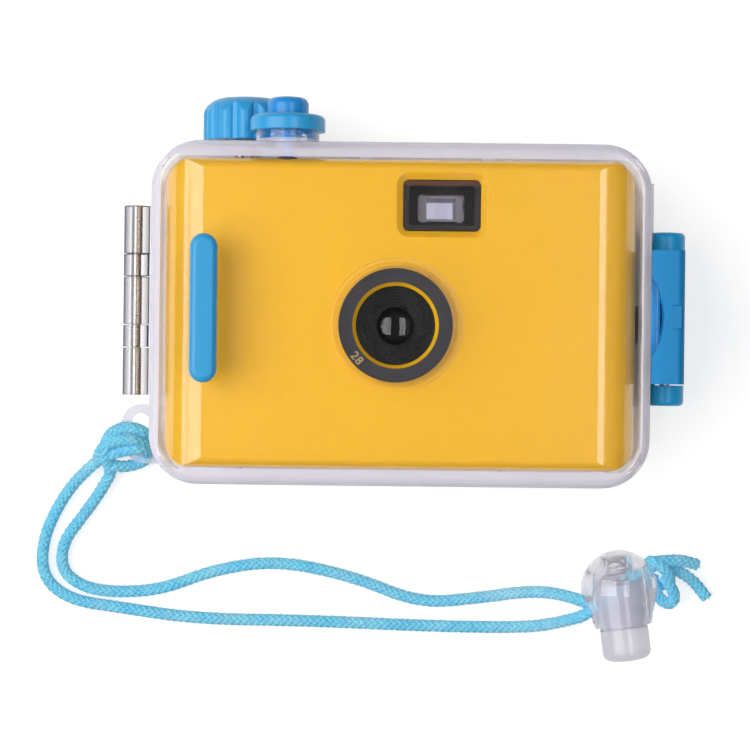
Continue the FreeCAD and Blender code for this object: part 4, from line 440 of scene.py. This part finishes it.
looks = {
    "yellow": {
        "colour": (0.79, 0.43, 0.003), "roughness": 0.24, "smear": 0.06, "mottle": 0.015, "coat": 1.0,
        "coatIndex": 1.75,
        "grainSize": 0.0009, "grainDepth": 0.000004, "edge": 0.00025, "bleed": 0.05,
    },
    "black": {
        "colour": (0.013, 0.012, 0.013), "roughness": 0.42, "smear": 0.16, "mottle": 0.15,
        "grainSize": 0.0004, "grainDepth": 0.00002, "edge": 0.0002,
    },
    "barrel": {
        "colour": (0.002, 0.002, 0.002), "roughness": 0.28, "smear": 0.12, "mottle": 0.1,
        "grainSize": 0.0004, "grainDepth": 0.00001, "edge": 0.0001, "specular": 0.35,
    },
    "goldPaint": {
        "colour": (0.32, 0.235, 0.1), "roughness": 0.4, "smear": 0.1, "mottle": 0.1,
        "grainSize": 0.0002, "grainDepth": 0.000004, "edge": 0.00002,
    },
    "ring": {
        "colour": (0.02, 0.018, 0.023), "roughness": 0.4, "smear": 0.12, "mottle": 0.08, "specular": 0.35,
        "grainSize": 0.00035, "grainDepth": 0.000008, "edge": 0.0001,
    },
    "plate": {
        "colour": (0.03, 0.03, 0.032), "roughness": 0.5, "smear": 0.15, "mottle": 0.1,
        "grainSize": 0.0005, "grainDepth": 0.00001, "edge": 0.0001,
    },
    "knobBlue": {
        "colour": (0.04, 0.45, 0.89), "roughness": 0.3, "smear": 0.1, "mottle": 0.03,
        "grainSize": 0.0007, "grainDepth": 0.00001, "edge": 0.00035, "bleed": 0.1,
    },
    "gripBlue": {
        "colour": (0.035, 0.43, 0.85), "roughness": 0.32, "smear": 0.1, "mottle": 0.03,
        "grainSize": 0.0007, "grainDepth": 0.00001, "edge": 0.0003, "bleed": 0.1,
    },
    "buttonBlue": {
        "colour": (0.022, 0.36, 0.87), "roughness": 0.28, "smear": 0.1, "mottle": 0.03,
        "grainSize": 0.0007, "grainDepth": 0.00001, "edge": 0.0003, "bleed": 0.1,
    },
    "latchBlue": {
        "colour": (0.008, 0.27, 0.62), "specular": 0.3, "roughness": 0.4, "smear": 0.1, "mottle": 0.04,
        "grainSize": 0.0006, "grainDepth": 0.000012, "edge": 0.0003, "bleed": 0.05,
    },
    "caseClear": {
        "colour": (0.985, 0.985, 1.0), "roughness": 0.015, "scuff": 0.05, "ripple": 0.00001,
        "index": 1.17, "coatIndex": 1.5, "shadowTint": (0.97, 0.97, 0.98),
        "milk": 0.002, "edgeMilk": 0.5, "milkBlend": 0.25, "milkColour": (0.82, 0.8, 0.9),
        "zones": {
            # the pin zone's colour and amount are painted slate shade
            "pinLeftOf": -0.0562, "pinAbove": -0.0205, "pinPaintedShadeColour": (0.06, 0.08, 0.15), "pinPaintedShade": 1.6,
            # the neck zone's blue is a painted reflection
            "neckAbove": 0.0386, "neck": (-0.031, -0.0199), "neckPaintedReflectionColour": (0.03, 0.3, 0.78),
            "neckPaintedReflection": 0.22,
            # the rim zone's milk is painted lilac light
            "rimFrom": (0.0527, 0.0342), "rimTo": (0.0557, 0.0386), "rimPaintedLight": 0.48, "flatFrom": 0.25,
        },
    },
    "windowClear": {
        "colour": (0.99, 0.99, 0.995), "roughness": 0.005, "scuff": 0.03, "ripple": 0.000002,
        "index": 1.1, "coatIndex": 1.35, "shadowTint": (0.98, 0.98, 0.98),
        "milk": 0.0, "edgeMilk": 0.3, "milkBlend": 0.2, "milkColour": (0.75, 0.72, 0.72),
    },
    "lockClear": {
        "colour": (0.93, 0.925, 0.95), "roughness": 0.06, "scuff": 0.08, "ripple": 0.00006,
        "index": 1.33, "coatIndex": 1.5, "shadowTint": (0.92, 0.92, 0.94),
        "milk": 0.14, "edgeMilk": 0.3, "milkBlend": 0.3, "milkColour": (0.74, 0.73, 0.8),
    },
    "lockButton": {
        "colour": (0.88, 0.875, 0.91), "roughness": 0.08, "scuff": 0.08, "ripple": 0.00006,
        "index": 1.33, "coatIndex": 1.5, "shadowTint": (0.92, 0.92, 0.94),
        "milk": 0.4, "edgeMilk": 0.3, "milkBlend": 0.3, "milkColour": (0.55, 0.54, 0.61),
    },
    # the latch bracket and its hubs are the lever's plastic given a lighter blue: painted light making up
    # for the shade they sit in
    "hubPaintedLightBlue": {
        "colour": (0.02, 0.46, 0.88), "specular": 0.4, "roughness": 0.3, "smear": 0.1, "mottle": 0.03,
        "grainSize": 0.0006, "grainDepth": 0.000008, "edge": 0.0002, "bleed": 0.05,
    },
    "chrome": {
        "colour": (0.78, 0.77, 0.78), "roughness": 0.12, "lineGloss": 0.12, "lineDepth": 0.000008,
        "lineSize": 0.0006, "stretch": (1, 6, 1),
    },
    "pinSteel": {
        "colour": (0.5, 0.43, 0.38), "roughness": 0.2, "lineGloss": 0.15, "lineDepth": 0.000008,
        "lineSize": 0.0006, "stretch": (1, 6, 1),
    },
    "springWire": {
        "colour": (0.6, 0.6, 0.62), "roughness": 0.22, "lineGloss": 0.15, "lineDepth": 0.000006,
        "lineSize": 0.0004, "stretch": (1, 1, 1),
    },
    "satinSteel": {
        "colour": (0.56, 0.56, 0.57), "roughness": 0.3, "lineGloss": 0.15, "lineDepth": 0.000006,
        "lineSize": 0.0004, "stretch": (1, 1, 8),
    },
    "gasket": {"colour": (0.82, 0.82, 0.86)},
    "seal": {"colour": (0.03, 0.03, 0.033)},
    "lensGlass": {
        "colour": (0.3, 0.32, 0.38), "edgeColour": (0.3, 0.25, 0.36), "roughness": 0.01,
        "index": 1.52, "clear": 1.0,
    },
    # the eyepiece's glow is painted light from behind the tunnel
    "eyepiece": {
        "colour": (0.42, 0.415, 0.5), "edgeColour": (0.36, 0.35, 0.45), "roughness": 0.03,
        "index": 1.4, "clear": 0.25, "paintedBacklight": 1.0, "paintedBacklightColour": (0.4, 0.39, 0.47),
    },
    "finderPane": {
        "colour": (0.93, 0.92, 0.94), "edgeColour": (0.8, 0.78, 0.82), "roughness": 0.02,
        "index": 1.12, "clear": 1.0,
    },
    "finder": {
        "colour": (0.01, 0.0065, 0.005), "roughness": 0.38, "specular": 0.3,
        "grainSize": 0.0004, "grainDepth": 0.00001, "wearSize": 0.003, "wear": 0.4, "wearGloss": 0.1,
        "deepColour": (0.5, 0.47, 0.51), "deepBelow": 0.0245,
        "paintedReflectionColour": (0.085, 0.022, 0.005), "paintedReflectionAbove": 0.0287, "edge": 0.0002,
    },
    "dial": {
        "centre": (-0.009, 0.0331, 0.016), "strokes": 24, "strokeShare": 0.16,
        "strokeFrom": 0.0038, "strokeTo": 0.0052, "colour": (0.82, 0.82, 0.79), "ink": (0.03, 0.03, 0.03),
        "fleckSize": 0.001, "fleckShade": 0.93, "roughness": 0.45, "fleckGloss": 0.1, "fleckDepth": 0.00001,
    },
    # the cord gives off a little painted light (its glow) to brighten it
    "cord": {
        "colour": (0.22, 0.8, 1.0), "deep": (0.11, 0.62, 0.98), "pale": (0.8, 0.97, 1.0),
        "fuzz": (0.45, 0.8, 1.0, 1.0), "sheen": 0.7, "sheenRoughness": 0.4, "paintedGlow": 0.09,
        "patchSize": 0.0016, "patchSpread": (0.3, 0.7),
        "fadeSize": 0.012, "fadeSpread": (0.45, 0.8), "fade": 0.35,
        "fibreStretch": (9.0, 260.0, 1.0), "fibreSpread": (0.48, 0.72), "fibrePale": 0.5,
        "fibreDepth": 0.00006, "fibreGloss": 0.25, "roughness": 0.5, "specular": 0.35,
    },
}

finishes = {
    "body_yellow": mouldedPlastic("bodyYellow", looks["yellow"]),
    "body_black": mouldedPlastic("bodyBlack", looks["black"]),
    "ring_black": mouldedPlastic("ringBlack", looks["ring"]),
    "plate_black": mouldedPlastic("plateBlack", looks["plate"]),
    "knob_blue": mouldedPlastic("knobBlue", looks["knobBlue"]),
    "grip_blue": mouldedPlastic("gripBlue", looks["gripBlue"]),
    "button_blue": mouldedPlastic("buttonBlue", looks["buttonBlue"]),
    "latch_blue": mouldedPlastic("latchBlue", looks["latchBlue"]),
    "case_clear": clearPlastic("caseClear", looks["caseClear"]),
    "window_clear": clearPlastic("windowClear", looks["windowClear"]),
    "lock_clear": clearPlastic("lockClear", looks["lockClear"]),
    "lockButton": clearPlastic("lockButton", looks["lockButton"]),
    "hubPaintedLightBlue": mouldedPlastic("hubPaintedLightBlue", looks["hubPaintedLightBlue"]),
    "bright_steel": turnedMetal("brightSteel", looks["chrome"]),
    "pinSteel": turnedMetal("pinSteel", looks["pinSteel"]),
    "spring_steel": turnedMetal("springSteel", looks["springWire"]),
    "fine_steel": turnedMetal("fineSteel", looks["satinSteel"]),
    "gasket_rubber": softRubber("gasketRubber", looks["gasket"]),
    "seal_rubber": softRubber("sealRubber", looks["seal"]),
    "lens_glass": coatedGlass("lensGlass", looks["lensGlass"]),
    "eyepiece": coatedGlass("eyepieceGlass", looks["eyepiece"]),
    "finderPane": coatedGlass("finderPaneGlass", looks["finderPane"]),
    "finderBlack": tunnelPlastic("finderBlack", looks["finder"]),
    "barrelBlack": mouldedPlastic("barrelBlack", looks["barrel"]),
    "goldPaint": mouldedPlastic("goldPaint", looks["goldPaint"]),
    "counter_white": printedDial("counterDial", looks["dial"]),
    "cord_blue": braidedYarn("cordBlue", looks["cord"]),
}


# nodes that look unlike the rest of their slot
ownFinish = {
    "viewfinder_eyepiece": "eyepiece",
    "viewfinder_front_lens": "finderPane",
    "viewfinder_tunnel": "finderBlack",
    "lens_barrel": "barrelBlack",
    "hinge_pin": "pinSteel",
    "cord_lock_plunger": "lockButton",
    # the bracket's lighter blue is painted light
    "latch_bracket": "hubPaintedLightBlue",
}


def dressNodes():
    for part in frame["record"]["subparts"]:
        node = frame["nodes"][part["node"]]
        node.data.materials.clear()
        node.data.materials.append(finishes[ownFinish.get(part["node"], part["material_slot"])])


dressNodes()
print("materials made:", len(finishes))


# Plain number on the ring round the lens, its foot towards the rim

ringNumber = {
    "digits": "28",
    "height": 2.6 * millimetre,
    "boldness": 0.05 * millimetre,
    "spacing": 1.15,
    "lensCentre": (-1.06 * millimetre, -2.4 * millimetre),
    "ringTop": 38.0 * millimetre,
    "footRadius": 11.95 * millimetre,
    "turnDegrees": -49.0,
    "paint": 0.02 * millimetre,
}


def makeRingNumber():
    font = bpy.data.curves.new("ringNumberLine", "FONT")
    font.body = ringNumber["digits"]
    font.size = ringNumber["height"]
    font.offset = ringNumber["boldness"]
    font.space_character = ringNumber["spacing"]
    font.align_x = "CENTER"
    font.extrude = ringNumber["paint"]
    holder = bpy.data.objects.new("ringNumberLine", font)
    mesh = bpy.data.meshes.new_from_object(holder)
    bpy.data.objects.remove(holder)
    bpy.data.curves.remove(font)
    centre = Matrix.Translation((*ringNumber["lensCentre"], ringNumber["ringTop"] + ringNumber["paint"]))
    turn = Matrix.Rotation(math.radians(ringNumber["turnDegrees"]), 4, "Z")
    mesh.transform(centre @ turn @ Matrix.Translation((0, -ringNumber["footRadius"], 0)))
    mesh.name = "ringNumber"
    mesh.materials.append(finishes["goldPaint"])
    number = addObject("ringNumber", mesh)
    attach(number, "back_half")


makeRingNumber()


# The two coils that get shorter when their button is pressed, copied as they are from the CAD and carried
# by their halves

coils = {
    "plungerCoil": {
        "node": "plunger_spring", "body": "front_half", "joint": "shutter_press",
        "axis": (0, 1, 0), "anchor": (-0.02545, 0.03935, 0.0312),
        "length": 0.0059, "travel": 0.0015,
    },
    "lockCoil": {
        "node": "cord_lock_spring", "body": "back_half", "joint": "cord_lock_press",
        "axis": (-0.130526, 0.991445, 0), "anchor": (0.05103, -0.0557, 0.0089),
        "length": 0.0061, "travel": 0.0022,
    },
}


def makeCoils():
    made = {}
    for name, coil in coils.items():
        piece = addObject(name, frame["nodes"][coil["node"]].data.copy())
        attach(piece, coil["body"])
        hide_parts(coil["node"])
        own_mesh(piece)
        made[name] = piece
    return made


coilPieces = makeCoils()
print("coils made:", len(coils))


# Cord: two strands of one braided cord, from the hitch at the lug to the cord lock

braid = {
    "radius": 1.5 * millimetre,
    "yarnRadius": 0.44 * millimetre,
    "carriers": 5,
    "pitch": 7.5 * millimetre,
    "lift": 0.17 * millimetre,
    "stepsPerStitch": 6,
    "coreRadius": 1.0 * millimetre,
    "lineSteps": 24,
    "yarnRounding": 1,
}

routes = {
    "strandOuter": [
        (-0.0704, -0.0343, 0.0032), (-0.0749, -0.0380, 0.0019), (-0.0797, -0.0449, 0.0016),
        (-0.0832, -0.0532, 0.0016), (-0.0832, -0.0616, 0.0016), (-0.0770, -0.0670, 0.0016),
        (-0.0650, -0.0687, 0.0016), (-0.0470, -0.0712, 0.0016), (-0.0200, -0.0713, 0.0016),
        (0.0080, -0.0723, 0.0016), (0.0310, -0.0724, 0.0016), (0.0386, -0.0708, 0.0040),
        (0.0436, -0.0689, 0.0079),
    ],
    "strandInner": [
        (-0.0672, -0.0371, 0.0028), (-0.0699, -0.0419, 0.0017), (-0.0740, -0.0475, 0.0016),
        (-0.0784, -0.0534, 0.0016), (-0.0788, -0.0600, 0.0016), (-0.0738, -0.0640, 0.0016),
        (-0.0660, -0.0652, 0.0016), (-0.0550, -0.0644, 0.0016), (-0.0430, -0.0596, 0.0016),
        (-0.0280, -0.0572, 0.0016), (-0.0100, -0.0608, 0.0016), (0.0056, -0.0670, 0.0016),
        (0.0200, -0.0654, 0.0019), (0.0306, -0.0636, 0.0042), (0.0376, -0.0636, 0.0076),
        (0.0426, -0.0650, 0.0089),
    ],
    "tailShort": [
        (0.0607, -0.0560, 0.0078), (0.0642, -0.0557, 0.0070), (0.0674, -0.0559, 0.0060),
        (0.0705, -0.0569, 0.0044),
    ],
    "tailLong": [
        (0.0622, -0.0566, 0.0050), (0.0656, -0.0582, 0.0036), (0.0688, -0.0600, 0.0024),
        (0.0712, -0.0622, 0.0017), (0.0732, -0.0650, 0.0016),
    ],
    "hitchUpper": [
        (-0.0672, -0.0371, 0.0028), (-0.0678, -0.0341, 0.0060), (-0.0682, -0.0312, 0.0086),
        (-0.0672, -0.0280, 0.0086), (-0.0645, -0.0262, 0.0080), (-0.0612, -0.0262, 0.0078),
        (-0.0588, -0.0274, 0.0074), (-0.0579, -0.0284, 0.0046), (-0.0590, -0.0290, 0.0020),
    ],
    "hitchLower": [
        (-0.0704, -0.0343, 0.0032), (-0.0690, -0.0334, 0.0060), (-0.0664, -0.0324, 0.0076),
        (-0.0628, -0.0314, 0.0080), (-0.0597, -0.0312, 0.0078), (-0.0581, -0.0322, 0.0056),
        (-0.0590, -0.0340, 0.0030), (-0.0620, -0.0352, 0.0028), (-0.0650, -0.0356, 0.0040),
        (-0.0668, -0.0350, 0.0050),
    ],
    "hitchMiddle": [
        (-0.0700, -0.0338, 0.0050), (-0.0692, -0.0314, 0.0074), (-0.0668, -0.0296, 0.0092),
        (-0.0636, -0.0289, 0.0094), (-0.0604, -0.0292, 0.0088), (-0.0586, -0.0302, 0.0062),
    ],
    "lockEntry": [
        (0.0414, -0.0647, 0.0086), (0.0436, -0.0654, 0.0090), (0.0456, -0.0662, 0.0091),
        (0.0484, -0.0664, 0.0090), (0.0510, -0.0650, 0.0089),
    ],
    "lockStretch": [
        (0.0427, -0.0692, 0.0072), (0.0440, -0.0686, 0.0081), (0.0480, -0.0657, 0.0086),
        (0.0560, -0.0597, 0.0086), (0.0603, -0.0566, 0.0080),
    ],
    "endWrap": [
        (0.0586, -0.0600, 0.0050), (0.0578, -0.0572, 0.0066), (0.0594, -0.0556, 0.0082),
        (0.0616, -0.0570, 0.0084), (0.0636, -0.0592, 0.0072), (0.0642, -0.0612, 0.0048),
        (0.0624, -0.0618, 0.0030),
    ],
    "endLobe": [
        (0.0600, -0.0596, 0.0050), (0.0606, -0.0626, 0.0048), (0.0618, -0.0652, 0.0046),
        (0.0642, -0.0664, 0.0046), (0.0654, -0.0644, 0.0052), (0.0640, -0.0616, 0.0062),
        (0.0624, -0.0596, 0.0066),
    ],
}


def splineThrough(name, points):
    # a smooth line with the route's points as its control points, read back as close points
    curve = bpy.data.curves.new(name + "Line", "CURVE")
    curve.dimensions = "3D"
    curve.resolution_u = braid["lineSteps"]
    spline = curve.splines.new("NURBS")
    spline.points.add(len(points) - 1)
    for spot, point in zip(spline.points, points):
        spot.co = (*point, 1)
    spline.order_u = 3
    spline.use_endpoint_u = True
    holder = bpy.data.objects.new(name + "Line", curve)
    line = bpy.data.meshes.new_from_object(holder)
    stations = [vertex.co.copy() for vertex in line.vertices]
    bpy.data.objects.remove(holder)
    bpy.data.curves.remove(curve)
    bpy.data.meshes.remove(line)
    return stations


def evenStations(line, step):
    # points at equal steps along the line
    spaced = [line[0].copy()]
    left = step
    for start, end in zip(line, line[1:]):
        run = (end - start).length
        done = 0.0
        while run - done >= left:
            done += left
            spaced.append(start.lerp(end, done / run))
            left = step
        left -= run - done
    return spaced


def carriedFrames(stations):
    # a direction across the cord at each station, carried along without twisting
    tangents = []
    for index in range(len(stations)):
        before = stations[max(index - 1, 0)]
        after = stations[min(index + 1, len(stations) - 1)]
        tangents.append((after - before).normalized())
    across = tangents[0].orthogonal().normalized()
    frames = []
    for index, tangent in enumerate(tangents):
        if index:
            across = tangents[index - 1].rotation_difference(tangent) @ across
            across = (across - tangent * across.dot(tangent)).normalized()
        frames.append((across, tangent.cross(across)))
    return frames


def addYarn(curve, points, thickness=1.0):
    yarn = curve.splines.new("POLY")
    yarn.points.add(len(points) - 1)
    for spot, point in zip(yarn.points, points):
        spot.co = (*point, 1)
        spot.radius = thickness


def braidAlong(name, points):
    line = splineThrough(name, points)
    step = braid["pitch"] / (braid["carriers"] * braid["stepsPerStitch"])
    stations = evenStations(line, step)
    frames = carriedFrames(stations)
    ringRadius = braid["radius"] - braid["yarnRadius"]
    curve = bpy.data.curves.new(name + "Yarns", "CURVE")
    curve.dimensions = "3D"
    curve.bevel_depth = braid["yarnRadius"]
    curve.bevel_resolution = braid["yarnRounding"]
    curve.use_fill_caps = True
    for direction in (1, -1):
        for carrier in range(braid["carriers"]):
            yarn = []
            for index, (station, (across, up)) in enumerate(zip(stations, frames)):
                travelled = index * step / braid["pitch"]
                angle = 2 * math.pi * (direction * travelled + carrier / braid["carriers"])
                weave = direction * math.cos(2 * math.pi * braid["carriers"] * travelled)
                reach = ringRadius + braid["lift"] * (weave - 1)
                yarn.append(station + (across * math.cos(angle) + up * math.sin(angle)) * reach)
            addYarn(curve, yarn)
    addYarn(curve, stations[1:-1], braid["coreRadius"] / braid["yarnRadius"])
    holder = bpy.data.objects.new(name + "Yarns", curve)
    mesh = bpy.data.meshes.new_from_object(holder)
    bpy.data.objects.remove(holder)
    bpy.data.curves.remove(curve)
    mesh.name = name
    for face in mesh.polygons:
        face.use_smooth = True
    mesh.materials.clear()
    mesh.materials.append(finishes["cord_blue"])
    cord = addObject(name, mesh)
    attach(cord, "back_half")
    return cord, line


def lineLength(line):
    return sum((end - start).length for start, end in zip(line, line[1:]))


# the CAD's cord pieces and what stands for each
cordNodes = {
    "strandOuter": "strap_cord_outer",
    "strandInner": "strap_cord_inner",
    "tailShort": "strap_tail_short",
    "tailLong": "strap_tail_long",
    "hitchUpper": "strap_knot",
    "endWrap": "end_knot",
}


def makeCords():
    cords = {}
    lines = {}
    for name, points in routes.items():
        cords[name], lines[name] = braidAlong(name, points)
        print("cord", name, round(lineLength(lines[name]) / millimetre, 1), "mm")
    for name, node in cordNodes.items():
        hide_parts(node)


makeCords()
print("cords laid")


# Studio: white floor and soft lamps at the two sides

studio = {
    "floorSize": 3.0,
    "floorDrop": 0.0002,
    "floorColour": (0.6, 0.6, 0.6),
    "floorGlow": 0.66,
    "floorRoughness": 0.7,
    "grainSize": 20 * millimetre,
    "grainShade": 0.99,
    "worldStrength": 0.1,
    "aim": (0, 0, 20 * millimetre),
    "lamps": {
        "left": {"angle": -36.0, "distance": 0.9, "width": 0.82, "length": 0.8, "radiance": 2.9},
        "right": {"angle": 20.0, "distance": 0.9, "width": 0.25, "length": 0.8, "radiance": 2.8},
    },
}


def makeFloor():
    finish = Finish("floorWhite")
    rays = finish.tree.nodes.new("ShaderNodeLightPath").outputs
    seen = Wire(finish, rays["Is Camera Ray"]) + Wire(finish, rays["Is Glossy Ray"])
    seen = seen + Wire(finish, rays["Is Transmission Ray"])
    grain = finish.noise(studio["grainSize"], 3.0)
    worn = shade(studio["floorColour"], studio["grainShade"])
    sockets = {
        "Base Color": finish.blend(grain, studio["floorColour"], worn),
        "Roughness": studio["floorRoughness"],
        "Emission Color": finish.blend(seen, (0, 0, 0), (1, 1, 1)),
        "Emission Strength": studio["floorGlow"],
    }
    mesh = bpy.data.meshes.new("floor")
    shape = bmesh.new()
    drop = Matrix.Translation((0, 0, -studio["floorDrop"]))
    bmesh.ops.create_grid(shape, x_segments=1, y_segments=1, size=studio["floorSize"], matrix=drop)
    shape.to_mesh(mesh)
    shape.free()
    mesh.materials.append(finish.finishWith(finish.shader(sockets)))
    addObject("floor", mesh)


def makeLamps():
    for name, place in studio["lamps"].items():
        lamp = bpy.data.lights.new(name + "Lamp", "AREA")
        lamp.shape = "RECTANGLE"
        lamp.size = place["length"]
        lamp.size_y = place["width"]
        lamp.energy = place["radiance"] * math.pi * lamp.size * lamp.size_y
        lean = math.radians(place["angle"])
        spot = Vector((math.sin(lean), 0.0, math.cos(lean))) * place["distance"]
        holder = addObject(name + "Lamp", lamp)
        holder.location = spot
        holder.rotation_euler = (spot - Vector(studio["aim"])).to_track_quat("Z", "Y").to_euler()


def makeWorld():
    world = bpy.data.worlds.new("studioWorld")
    bpy.context.scene.world = world
    world.use_nodes = True
    nodes = world.node_tree.nodes
    links = world.node_tree.links
    nodes.clear()
    rays = nodes.new("ShaderNodeLightPath")
    soft = nodes.new("ShaderNodeBackground")
    white = nodes.new("ShaderNodeBackground")
    for background in (soft, white):
        background.inputs["Color"].default_value = (1, 1, 1, 1)
    soft.inputs["Strength"].default_value = studio["worldStrength"]
    mixed = nodes.new("ShaderNodeMixShader")
    links.new(rays.outputs["Is Camera Ray"], mixed.inputs[0])
    links.new(soft.outputs[0], mixed.inputs[1])
    links.new(white.outputs[0], mixed.inputs[2])
    links.new(mixed.outputs[0], nodes.new("ShaderNodeOutputWorld").inputs["Surface"])


makeFloor()
makeLamps()
makeWorld()
bpy.context.scene.view_settings.view_transform = "Standard"
print("studio lit")
